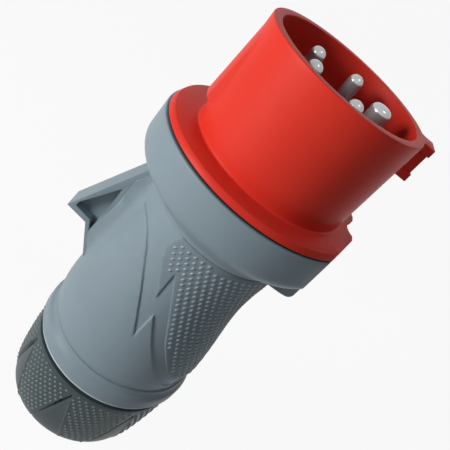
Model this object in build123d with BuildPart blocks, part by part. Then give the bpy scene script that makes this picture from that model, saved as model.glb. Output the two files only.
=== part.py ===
from build123d import *
from math import cos, radians, sin
import os

# Industrial pin and sleeve plug, 16 A, five poles, all sizes in millimetres.
# +Z runs up the plug's axis from the gland nut's end face (z = 0) to the mouth of the shroud.
# +X points at 6 o'clock, the side of the key, the earth pin and the lock slide.
# -X points at 12 o'clock, the side of the fin and of the cover catch.

# Shroud: the moulded sleeve round the pins
MOUTH_Z = 166.0
SHROUD_R = 28.5
SHROUD_WALL = 3.1
SHROUD_DEPTH = 36.5
SHROUD_DRAFT = 0.8
RIM_ROUND = 0.6
FLOOR_T = 5.0

# Flange of the shroud and the seal below it
FLANGE_T = 2.0
FLANGE_BEVEL = 1.0
SEAL_T = 0.7
SEAL_W = 5.8
SEAL_SET_BACK = 0.5
FLAT_DEPTH = 4.2
FACET_TURN = 19.5
SCALLOP_R = 6.8
SCALLOP_DEPTH = 2.5

# Skirt of the shroud, inside the housing's collar
SKIRT_R = 30.2
SKIRT_WALL = 2.6
SKIRT_LENGTH = 14.0
LUG_COUNT = 2
LUG_HEIGHT = 4.0
LUG_ANGLE = 30.0
LUG_START = 90.0
LUG_PITCH = 360 / LUG_COUNT
LUG_ENTRY_TURN = 35.0
LUG_ENTRY_EXTRA = 4.0

# Key at 6 o'clock
KEY_REACH = 4.0
KEY_LENGTH = 12.7
KEY_WIDTH = 7.2
KEY_CAP = 2.8
KEY_WAIST = 0.6
KEY_SINK = 1.3
KEY_ROOT_ROUND = 1.2

# Cover catch at 12 o'clock, a ramp that ends in a ledge
CATCH_REACH = 2.0
CATCH_ANGLE = 40.0
CATCH_TOP_DROP = 5.0
CATCH_LEDGE_H = 7.0

# Contact pins
PIN_CIRCLE_R = 13.3
PHASE_PIN_R = 2.5
EARTH_PIN_R = 3.5
PHASE_TIP_DROP = 1.0
EARTH_TIP_DROP = 0.5
EARTH_TIP_ROUND = 2.2
PIN_CLEARANCE = 0.05
PIN_SEAT_STEP = 0.4
SHOULDER_T = 3.0
SHOULDER_STEP = 2.8
BARREL_STEP = 2.0
BARREL_LENGTH = 19.0
WIRE_BORE_STEP = 0.3
WIRE_BORE_DEPTH = 14.0
PHASE_TIP_ROUND = 2.45
PIN_ANGLES = {"earth": 0.0, "l1": 72.0, "l2": 144.0, "l3": 216.0, "n": 288.0}

# Contact carrier and its screws
CARRIER_R = 21.8
CARRIER_T = 14.0
CARRIER_CORE_R = 4.0
CARRIER_SCREW_CIRCLE_R = 18.3
CARRIER_SCREW_ANGLES = (36.0, 180.0, 324.0)
CARRIER_SCREW_R = 1.5
CARRIER_SCREW_HEAD_R = 2.7
CARRIER_SCREW_HEAD_T = 2.2
CARRIER_SCREW_BITE = 3.2
SCREW_SLOT_W = 0.7
SCREW_SLOT_DEPTH = 0.9

# Terminal screws, set radially in the pins' barrels
TERMINAL_SCREW_R = 1.75
TERMINAL_SCREW_LENGTH = 5.0
TERMINAL_SCREW_DROP = 8.5
CLAMP_PLATE_T = 0.8
CLAMP_PLATE_R = 1.5
CLAMP_SEAT_GAP = 0.5

# Housing
COLLAR_STEP = 0.6
COLLAR_WALL = 3.4
COLLAR_LIP_T = 6.0
COLLAR_STRAIGHT = 10.0
COLLAR_HEEL_H = 10.8
COLLAR_HEEL = ((0.9, 2.8), (2.2, 4.3), (3.8, 5.6), (5.9, 7.0), (8.1, 8.7))
COLLAR_TOP_BREAK = 0.5
CREASE_R = 27.0
WAIST_R = 25.6
WAIST_DROP = 9.0
# Sections of the body, as (share of its height, radius at 12 o'clock, radius at 6 o'clock)
BODY_SECTIONS = (
    (0.0, 28.2, 27.4),
    (0.052, 28.95, 27.9),
    (0.115, 29.5, 28.0),
    (0.179, 29.7, 27.8),
    (0.273, 29.5, 27.1),
    (0.368, 28.9, 26.2),
    (0.463, 28.1, 25.2),
    (0.558, 27.3, 24.5),
    (0.652, 26.6, 24.2),
    (0.747, 26.05, 24.4),
    (0.858, 25.6, 24.9),
    (0.953, 25.6, 25.5),
    (1.0, CREASE_R, CREASE_R),
)
RING_R = 29.7
RING_BOTTOM_Z = 33.7
RING_H = 9.0
RING_ROUND = 1.2
ROOM_SLOPE_DROP = 2.0
BODY_WALL = 3.0
SKIN_DEPTH = 0.6
GRIP_DEPTH = 1.5
GRIP_TOP_DROP = 2.6
SEAT_GAP = 0.05
FIT_GAP = 0.3

# Block at 6 o'clock behind the collar
BLOCK_W = 16.0
BLOCK_H = 28.4
BLOCK_ROUND = 2.5

# Lock slide in the block
SLIDE_W = 10.0
SLIDE_LENGTH = 12.0
SLIDE_FOOT_T = 0.7
SLIDE_TOP_T = 0.7
SLIDE_LIP = 0.9
SLIDE_TRAVEL = 4.0
SLIDE_PLAY = 0.08
SLIDE_SINK = 0.1
SLIDE_RIB_COUNT = 4
SLIDE_RIB_REACH = 0.5
SLIDE_RIB_T = 1.0
SLIDE_RIB_PITCH = 2.4
SLIDE_RIB_INSET = 0.8
TONGUE_W = 5.0
TONGUE_H = 3.0
TONGUE_REACH = 2.0
TONGUE_HOLD = 3.1
TONGUE_SLIT_DEPTH = 5.8

# Fin at 12 o'clock
FIN_T = 10.0
FIN_ROOT_X = -28.5
FIN_ROOT_DROP = 0.5
FIN_TIP_X = -43.2
FIN_TIP_DROP = 30.3
FIN_UNDER_X = -35.2
FIN_UNDER_DROP = 32.0
FIN_FOOT_X = -29.3
FIN_FOOT_DROP = 44.0
FIN_WEB_T = 3.0
POCKET_TOP = (-32.0, -12.9)
POCKET_TIP = (-40.6, -26.8)
POCKET_NOSE = (-40.8, -28.6)
POCKET_UNDER = (-34.6, -30.0)
POCKET_FOOT = (-31.9, -35.9)

# Gland: threaded end of the housing, seal, clamp cage and nut
SPIGOT_R = 24.2
SPIGOT_BOTTOM_Z = 12.0
SPIGOT_WALL = 5.0
LEDGE_T = 3.0
LEDGE_Z = 28.0
LEDGE_BORE_R = 13.5
CABLE_ROOM_R = 21.0
CUT_OVER = 0.5
SLIP_RING_R = 28.9
SLIP_RING_T = 1.4
NUT_TOP_Z = 32.0
NUT_R = 28.8
NUT_LAND_R = 27.6
NUT_EDGE_DROP = 0.9
NUT_MID_R = 28.0
NUT_MID_Z = 18.0
NUT_END_R = 25.6
NUT_END_Z = 3.2
NUT_END_ROUND = 3.0
THREAD_CLEARANCE = 0.06
NUT_ENTRY_R = 14.5
NUT_ENTRY_T = 3.0
NUT_WEDGE_COUNT = 7
NUT_WEDGE_FIRST = -97.5
NUT_WEDGE_APEX_Z = 28.5
NUT_WEDGE_BASE_Z = 2.0
NUT_WEDGE_HALF = 15.0
NUT_WEDGE_STEP = 1.1
CAGE_RING_T = 1.6
CAGE_RING_INSET = 0.4
CAGE_WALL = 2.0
CAGE_TIP_R = 17.0
CAGE_TIP_Z = 4.0
CAGE_CONE_GAP = 0.45
CAGE_SLOT_COUNT = 10
CAGE_SLOT_W = 1.6
GLAND_SEAL_BORE_R = 8.5
GLAND_SEAL_BOTTOM_Z = 7.0
GLAND_SEAL_GROOVES = 3
GLAND_GROOVE_DEPTH = 0.8
GLAND_GROOVE_H = 2.0
GLAND_GROOVE_PITCH = 4.5

# Levels and radii that follow from the sizes above
SHROUD_BORE_R = SHROUD_R - SHROUD_WALL
SHROUD_ROOT_R = SHROUD_R - SHROUD_DRAFT
COLLAR_BORE_R = SKIRT_R + FIT_GAP
SEAL_R = COLLAR_BORE_R + SEAL_W
FLANGE_R = SEAL_R + SEAL_SET_BACK
COLLAR_R = FLANGE_R + COLLAR_STEP
COLLAR_ROOM_R = COLLAR_R - COLLAR_WALL
LUG_R = COLLAR_ROOM_R - 2 * FIT_GAP
FLAT_X = COLLAR_R - FLAT_DEPTH
FACET_R = FLAT_X * cos(radians(FACET_TURN)) + BLOCK_W / 2 * sin(radians(FACET_TURN))
FLANGE_TOP_Z = MOUTH_Z - SHROUD_DEPTH
FLANGE_BOTTOM_Z = FLANGE_TOP_Z - FLANGE_T
FLOOR_BOTTOM_Z = FLANGE_TOP_Z - FLOOR_T
CATCH_LEDGE_Z = FLANGE_TOP_Z + CATCH_LEDGE_H
COLLAR_TOP_Z = FLANGE_BOTTOM_Z - SEAL_T
COLLAR_LIP_Z = COLLAR_TOP_Z - COLLAR_LIP_T
COLLAR_LOW_Z = COLLAR_TOP_Z - COLLAR_STRAIGHT
LUG_TOP_Z = COLLAR_LIP_Z - FIT_GAP
SKIRT_BOTTOM_Z = FLANGE_BOTTOM_Z - SKIRT_LENGTH
CARRIER_TOP_Z = FLOOR_BOTTOM_Z - SHOULDER_T
CARRIER_BOTTOM_Z = CARRIER_TOP_Z - CARRIER_T
TERMINAL_Z = CARRIER_TOP_Z - TERMINAL_SCREW_DROP
CREASE_Z = COLLAR_LOW_Z - COLLAR_HEEL_H
WAIST_Z = CREASE_Z - WAIST_DROP
BLOCK_BOTTOM_Z = COLLAR_TOP_Z - BLOCK_H
RING_TOP_Z = RING_BOTTOM_Z + RING_H
SLIDE_FLOOR_X = FLAT_X - SLIDE_SINK - SLIDE_TOP_T - SLIDE_FOOT_T - SLIDE_PLAY
SLIDE_TOP_Z = SKIRT_BOTTOM_Z + TONGUE_HOLD
SLIDE_BOTTOM_Z = SLIDE_TOP_Z - SLIDE_LENGTH
TONGUE_BOTTOM_Z = SLIDE_TOP_Z - TONGUE_H
NUT_BORE_R = SPIGOT_R + THREAD_CLEARANCE
SPIGOT_BORE_R = SPIGOT_R - SPIGOT_WALL
CAGE_RING_R = SPIGOT_R - CAGE_RING_INSET
CAGE_RING_LOW_Z = SPIGOT_BOTTOM_Z - CAGE_RING_T
FAR = 100.0


def ring_place(radius, angle):
    """A point on a circle round the plug's axis."""
    return radius * cos(radians(angle)), radius * sin(radians(angle))


def pin_place(name):
    """Centre of a pin on the pin circle."""
    return ring_place(PIN_CIRCLE_R, PIN_ANGLES[name])


def pin_radius(name):
    return EARTH_PIN_R if name == "earth" else PHASE_PIN_R


def side_cut(set_back, low_z, high_z):
    """What the flat and its two slanted facets cut away at 6 o'clock, set back by a distance."""
    with BuildPart() as cut:
        for radius, turn in ((FLAT_X, 0), (FACET_R, FACET_TURN), (FACET_R, -FACET_TURN)):
            with Locations(Location((*ring_place(radius - set_back, turn), low_z), (0, 0, turn))):
                Box(
                    COLLAR_R,
                    2 * COLLAR_R,
                    high_z - low_z,
                    align=(Align.MIN, Align.CENTER, Align.MIN),
                )
    return cut.part


def sector(low_r, high_r, low_z, high_z, middle, arc):
    """A block bent round the axis between two radii and two heights, centred on an angle."""
    with BuildPart() as block:
        with BuildSketch(Plane.XZ):
            with Locations(((low_r + high_r) / 2, (low_z + high_z) / 2)):
                Rectangle(high_r - low_r, high_z - low_z)
        revolve(axis=Axis.Z, revolution_arc=arc)
    return block.part.rotate(Axis.Z, middle - arc / 2)


def catch_solid():
    """The cover catch: a wedge section swept round part of the sleeve."""
    ramp_top_z = MOUTH_Z - CATCH_TOP_DROP
    ledge_z = CATCH_LEDGE_Z
    with BuildPart() as catch:
        with BuildSketch(Plane.XZ):
            with BuildLine():
                Polyline(
                    (SHROUD_R - CATCH_REACH / 2, ledge_z),
                    (SHROUD_R + CATCH_REACH, ledge_z),
                    (SHROUD_R, ramp_top_z),
                    (SHROUD_R - CATCH_REACH / 2, ramp_top_z),
                    close=True,
                )
            make_face()
        revolve(axis=Axis.Z, revolution_arc=CATCH_ANGLE)
        rear_corner = catch.edges().filter_by(
            lambda e: abs(e.center().Z - (ledge_z + ramp_top_z) / 2) < 1.0
            and Vector(e.center().X, e.center().Y, 0).length > SHROUD_R + CATCH_REACH * 0.3
        )
        chamfer(rear_corner, CATCH_REACH * 0.45)
    return catch.part.rotate(Axis.Z, 180 - CATCH_ANGLE / 2)


def terminal_plane(name, reach):
    """Plane across a pin's cross hole, at a distance from the pin's own axis."""
    angle = radians(PIN_ANGLES[name])
    out = Vector(cos(angle), sin(angle), 0)
    middle = out * (PIN_CIRCLE_R + reach) + Vector(0, 0, TERMINAL_Z)
    return Plane(origin=middle, x_dir=(0, 0, 1), z_dir=tuple(out))


# Shroud, one red moulding: sleeve, floor, flange, skirt, key and cover catch
with BuildPart() as shroud:
    with BuildSketch(Plane.XZ):
        with BuildLine():
            Polyline(
                (0, FLOOR_BOTTOM_Z),
                (SKIRT_R - SKIRT_WALL, FLOOR_BOTTOM_Z),
                (SKIRT_R - SKIRT_WALL, SKIRT_BOTTOM_Z),
                (SKIRT_R, SKIRT_BOTTOM_Z),
                (SKIRT_R, FLANGE_BOTTOM_Z),
                (FLANGE_R, FLANGE_BOTTOM_Z),
                (FLANGE_R - FLANGE_BEVEL, FLANGE_TOP_Z),
                (SHROUD_ROOT_R, FLANGE_TOP_Z),
                (SHROUD_R, MOUTH_Z),
                (SHROUD_BORE_R, MOUTH_Z),
                (SHROUD_BORE_R, FLANGE_TOP_Z),
                (0, FLANGE_TOP_Z),
                close=True,
            )
        make_face()
    revolve(axis=Axis.Z)
    rim_edges = shroud.edges().filter_by(GeomType.CIRCLE).group_by(Axis.Z)[-1]
    fillet(rim_edges, RIM_ROUND)
    root_edge = (
        shroud.edges()
        .filter_by(GeomType.CIRCLE)
        .filter_by(lambda e: abs(e.radius - SHROUD_ROOT_R) < 0.01)
        .sort_by(Axis.Z)[0]
    )
    fillet(root_edge, RIM_ROUND)
    # flat and facets of the flange at 6 o'clock, with a scallop for the tool that pushes the slide
    add(side_cut(0, FLANGE_BOTTOM_Z - CUT_OVER, FLANGE_TOP_Z + CUT_OVER), mode=Mode.SUBTRACT)
    with Locations((FLAT_X - SCALLOP_DEPTH + SCALLOP_R, 0, FLANGE_BOTTOM_Z - CUT_OVER)):
        Cylinder(
            SCALLOP_R,
            FLANGE_T + 2 * CUT_OVER,
            align=(Align.CENTER, Align.CENTER, Align.MIN),
            mode=Mode.SUBTRACT,
        )
    # key: two full caps with a narrower waist between them
    key_x = SHROUD_R + KEY_REACH
    key_bottom_z = MOUTH_Z - KEY_LENGTH
    for bottom, top, width in (
        (key_bottom_z, key_bottom_z + KEY_CAP, KEY_WIDTH),
        (key_bottom_z + KEY_CAP, MOUTH_Z - KEY_CAP, KEY_WIDTH - 2 * KEY_WAIST),
        (MOUTH_Z - KEY_CAP, MOUTH_Z, KEY_WIDTH),
    ):
        half = width / 2
        flare = half + KEY_ROOT_ROUND
        root_x = SHROUD_R - KEY_SINK / 2
        with BuildSketch(Plane.XY.offset(bottom)):
            with BuildLine():
                Polyline((SHROUD_R - KEY_SINK, -flare), (SHROUD_R - KEY_SINK, flare), (root_x, flare))
                Spline(
                    (root_x, flare),
                    (root_x + KEY_ROOT_ROUND, half),
                    tangents=((0.6, -1), (1, 0)),
                )
                Polyline(
                    (root_x + KEY_ROOT_ROUND, half),
                    (key_x, half),
                    (key_x, -half),
                    (root_x + KEY_ROOT_ROUND, -half),
                )
                Spline(
                    (root_x + KEY_ROOT_ROUND, -half),
                    (root_x, -flare),
                    tangents=((-1, 0), (-0.6, -1)),
                )
                Line((root_x, -flare), (SHROUD_R - KEY_SINK, -flare))
            make_face()
        extrude(amount=top - bottom)
    add(catch_solid())
    # bayonet lugs on the skirt
    for number in range(LUG_COUNT):
        middle = LUG_START + number * LUG_PITCH
        add(
            sector(
                SKIRT_R - SKIRT_WALL / 2,
                LUG_R,
                LUG_TOP_Z - LUG_HEIGHT,
                LUG_TOP_Z,
                middle,
                LUG_ANGLE,
            )
        )
    # notch in the skirt's edge for the lock slide's tongue
    with Locations((SKIRT_R - SKIRT_WALL - CUT_OVER, 0, SKIRT_BOTTOM_Z)):
        Box(
            SKIRT_WALL + 2 * CUT_OVER,
            TONGUE_W + 2 * FIT_GAP,
            SLIDE_TOP_Z + FIT_GAP - SKIRT_BOTTOM_Z,
            align=(Align.MIN, Align.CENTER, Align.MIN),
            mode=Mode.SUBTRACT,
        )
    # holes for the pins through the floor, and screw holes from below
    for name in PIN_ANGLES:
        with Locations((*pin_place(name), FLOOR_BOTTOM_Z)):
            Cylinder(
                pin_radius(name) + PIN_SEAT_STEP + PIN_CLEARANCE,
                FLOOR_T,
                align=(Align.CENTER, Align.CENTER, Align.MIN),
                mode=Mode.SUBTRACT,
            )
    for angle in CARRIER_SCREW_ANGLES:
        with Locations((*ring_place(CARRIER_SCREW_CIRCLE_R, angle), FLOOR_BOTTOM_Z)):
            Cylinder(
                CARRIER_SCREW_R,
                CARRIER_SCREW_BITE + CUT_OVER,
                align=(Align.CENTER, Align.CENTER, Align.MIN),
                mode=Mode.SUBTRACT,
            )

# Contact pins, turned and plated: round tip, shaft, seat in the floor, shoulder and barrel
pins = {}
for name in PIN_ANGLES:
    radius = pin_radius(name)
    tip_z = MOUTH_Z - (EARTH_TIP_DROP if name == "earth" else PHASE_TIP_DROP)
    tip_round = EARTH_TIP_ROUND if name == "earth" else PHASE_TIP_ROUND
    shoulder_r = radius + SHOULDER_STEP
    barrel_r = radius + BARREL_STEP
    barrel_bottom_z = CARRIER_TOP_Z - BARREL_LENGTH
    wire_r = radius + WIRE_BORE_STEP
    place = pin_place(name)
    with BuildPart() as pin:
        with Locations((*place, barrel_bottom_z)):
            Cylinder(barrel_r, BARREL_LENGTH, align=(Align.CENTER, Align.CENTER, Align.MIN))
        with Locations((*place, CARRIER_TOP_Z)):
            Cylinder(shoulder_r, SHOULDER_T, align=(Align.CENTER, Align.CENTER, Align.MIN))
        with Locations((*place, FLOOR_BOTTOM_Z)):
            Cylinder(
                radius + PIN_SEAT_STEP, FLOOR_T, align=(Align.CENTER, Align.CENTER, Align.MIN)
            )
            Cylinder(
                radius, tip_z - FLOOR_BOTTOM_Z, align=(Align.CENTER, Align.CENTER, Align.MIN)
            )
        tip_edge = pin.edges().filter_by(GeomType.CIRCLE).sort_by(Axis.Z)[-1]
        fillet(tip_edge, tip_round)
        with Locations((*place, barrel_bottom_z)):
            Cylinder(
                wire_r,
                WIRE_BORE_DEPTH,
                align=(Align.CENTER, Align.CENTER, Align.MIN),
                mode=Mode.SUBTRACT,
            )
        with BuildSketch(terminal_plane(name, 0)):
            Circle(TERMINAL_SCREW_R + PIN_CLEARANCE)
        extrude(amount=barrel_r + CUT_OVER, mode=Mode.SUBTRACT)
    pin.part.label = "pin_" + name
    pins[name] = pin

# Contact carrier, a moulded disc that holds the barrels and presses the shoulders to the floor
with BuildPart() as contact_carrier:
    with Locations((0, 0, CARRIER_BOTTOM_Z)):
        Cylinder(CARRIER_R, CARRIER_T, align=(Align.CENTER, Align.CENTER, Align.MIN))
        Cylinder(
            CARRIER_CORE_R,
            CARRIER_T,
            align=(Align.CENTER, Align.CENTER, Align.MIN),
            mode=Mode.SUBTRACT,
        )
    for name in PIN_ANGLES:
        with Locations((*pin_place(name), CARRIER_BOTTOM_Z)):
            Cylinder(
                pin_radius(name) + BARREL_STEP + PIN_CLEARANCE,
                CARRIER_T,
                align=(Align.CENTER, Align.CENTER, Align.MIN),
                mode=Mode.SUBTRACT,
            )
        with BuildSketch(terminal_plane(name, 0)):
            Circle(TERMINAL_SCREW_R + FIT_GAP)
        extrude(amount=CARRIER_R, mode=Mode.SUBTRACT)
    for angle in CARRIER_SCREW_ANGLES:
        with Locations((*ring_place(CARRIER_SCREW_CIRCLE_R, angle), CARRIER_BOTTOM_Z)):
            Cylinder(
                CARRIER_SCREW_R + PIN_CLEARANCE,
                CARRIER_T,
                align=(Align.CENTER, Align.CENTER, Align.MIN),
                mode=Mode.SUBTRACT,
            )
    # spacer bosses that stand on the shroud's floor round the screws
    for angle in CARRIER_SCREW_ANGLES:
        with BuildSketch(Plane.XY.offset(CARRIER_TOP_Z)):
            with Locations(ring_place(CARRIER_SCREW_CIRCLE_R, angle)):
                Circle(CARRIER_SCREW_HEAD_R)
                Circle(CARRIER_SCREW_R + PIN_CLEARANCE, mode=Mode.SUBTRACT)
        extrude(amount=SHOULDER_T)

# Carrier screws, three slotted screws from below into the floor of the shroud
with BuildPart() as carrier_screws:
    for angle in CARRIER_SCREW_ANGLES:
        centre = ring_place(CARRIER_SCREW_CIRCLE_R, angle)
        with Locations((*centre, CARRIER_BOTTOM_Z)):
            Cylinder(
                CARRIER_SCREW_HEAD_R,
                CARRIER_SCREW_HEAD_T,
                align=(Align.CENTER, Align.CENTER, Align.MAX),
            )
            Cylinder(
                CARRIER_SCREW_R,
                CARRIER_T + SHOULDER_T + CARRIER_SCREW_BITE,
                align=(Align.CENTER, Align.CENTER, Align.MIN),
            )
        with Locations((*centre, CARRIER_BOTTOM_Z - CARRIER_SCREW_HEAD_T)):
            Box(
                2 * CARRIER_SCREW_HEAD_R,
                SCREW_SLOT_W,
                SCREW_SLOT_DEPTH,
                align=(Align.CENTER, Align.CENTER, Align.MIN),
                mode=Mode.SUBTRACT,
            )


def plate_reach(name):
    """Distance from the pin's axis to the face where its screw meets its clamp plate."""
    return pin_radius(name) + WIRE_BORE_STEP - CLAMP_SEAT_GAP


def terminal_screw(name):
    """One slotted set screw in the barrel's cross hole, its inner end on the clamp plate."""
    with BuildPart() as screw:
        with BuildSketch(terminal_plane(name, plate_reach(name))):
            Circle(TERMINAL_SCREW_R)
        extrude(amount=TERMINAL_SCREW_LENGTH)
        with BuildSketch(terminal_plane(name, plate_reach(name) + TERMINAL_SCREW_LENGTH)):
            Rectangle(3 * TERMINAL_SCREW_R, SCREW_SLOT_W)
        extrude(amount=-SCREW_SLOT_DEPTH, mode=Mode.SUBTRACT)
    return screw.part


def clamp_plate(name):
    """The small plate between a terminal screw and the wire."""
    with BuildPart() as plate:
        with BuildSketch(terminal_plane(name, plate_reach(name) - CLAMP_PLATE_T)):
            Circle(CLAMP_PLATE_R)
        extrude(amount=CLAMP_PLATE_T)
    return plate.part


phase_names = [name for name in PIN_ANGLES if name != "earth"]
with BuildPart() as phase_terminal_screws:
    for name in phase_names:
        add(terminal_screw(name))
with BuildPart() as earth_terminal_screw:
    add(terminal_screw("earth"))
with BuildPart() as phase_clamp_plates:
    for name in phase_names:
        add(clamp_plate(name))
with BuildPart() as earth_clamp_plate:
    add(clamp_plate("earth"))

# Flange seal, a flat rubber ring between the flange and the collar
with BuildPart() as flange_seal:
    with BuildSketch(Plane.XY.offset(COLLAR_TOP_Z)):
        Circle(SEAL_R)
        Circle(COLLAR_BORE_R, mode=Mode.SUBTRACT)
    extrude(amount=SEAL_T)
    add(side_cut(SEAL_SET_BACK, COLLAR_TOP_Z, FLANGE_BOTTOM_Z), mode=Mode.SUBTRACT)

# Areas of the body's side, seen along Y, as (x, height above the crease):
# the grip, and the channel that parts it from the smooth panel
grip_outline = [
    (-10.1, -GRIP_TOP_DROP),
    (-11.2, -5.2),
    (-11.9, -9.0),
    (-10.6, -13.5),
    (-4.3, -25.2),
    (-4.4, -14.8),
    (2.7, -27.3),
    (8.9, -38.6),
    (17.1, -50.2),
    (22.5, -56.0),
    (27.0, -58.0),
    (FAR, -58.0),
    (FAR, -GRIP_TOP_DROP),
]
channel_outline = [
    (-26.5, -GRIP_TOP_DROP + FIT_GAP),
    (-24.5, -10.0),
    (-21.5, -10.4),
    (-19.1, -12.0),
    (-16.0, -15.9),
    (-9.6, -26.5),
    (-1.7, -41.2),
    (-1.0, -31.1),
    (5.1, -40.9),
    (13.7, -52.0),
    (19.6, -58.4),
    (24.5, -61.4),
    (FAR, -61.4),
    (FAR, -GRIP_TOP_DROP + FIT_GAP),
]


def body_solid(inset):
    """The body from the ring's top to the crease, hollowed at 6 o'clock, drawn inset inside its skin."""
    with BuildPart() as solid:
        for share, back, front in BODY_SECTIONS:
            with BuildSketch(Plane.XY.offset(RING_TOP_Z + share * (CREASE_Z - RING_TOP_Z))):
                with Locations(((front - back) / 2, 0)):
                    Circle((front + back) / 2 - inset)
        loft()
    return solid.part


def side_prism(outline):
    """An outline drawn on the plug's side plane, extruded through both sides."""
    with BuildPart() as prism:
        with BuildSketch(Plane.XZ):
            with BuildLine():
                Polyline(*[(x, CREASE_Z + rise) for x, rise in outline], close=True)
            make_face()
        extrude(amount=FAR, both=True)
    return prism.part


TOOL_REACH = 1.0
body_over = body_solid(-TOOL_REACH)
channel = (body_over - body_solid(SKIN_DEPTH)) & side_prism(channel_outline)
grip_recess = (body_over - body_solid(GRIP_DEPTH + SEAT_GAP)) & side_prism(grip_outline)
grip_shell = (body_solid(0) - body_solid(GRIP_DEPTH)) & side_prism(grip_outline)

# Room inside the housing: body and collar, flat on the side of the lock slide
with BuildPart() as room:
    add(body_solid(BODY_WALL))
    with BuildSketch(Plane.XZ):
        with BuildLine():
            Polyline(
                (0, CREASE_Z),
                (CREASE_R - BODY_WALL, CREASE_Z),
                (COLLAR_ROOM_R, COLLAR_LOW_Z - ROOM_SLOPE_DROP),
                (COLLAR_ROOM_R, COLLAR_LIP_Z),
                (COLLAR_BORE_R, COLLAR_LIP_Z),
                (COLLAR_BORE_R, COLLAR_TOP_Z),
                (0, COLLAR_TOP_Z),
                close=True,
            )
        make_face()
        with BuildLine():
            Polyline(
                (0, LEDGE_Z + LEDGE_T),
                (CABLE_ROOM_R, LEDGE_Z + LEDGE_T),
                (CABLE_ROOM_R, RING_TOP_Z),
                (0, RING_TOP_Z),
                close=True,
            )
        make_face()
    revolve(axis=Axis.Z)
    add(side_cut(FLAT_X - COLLAR_BORE_R, WAIST_Z, MOUTH_Z), mode=Mode.SUBTRACT)

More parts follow.
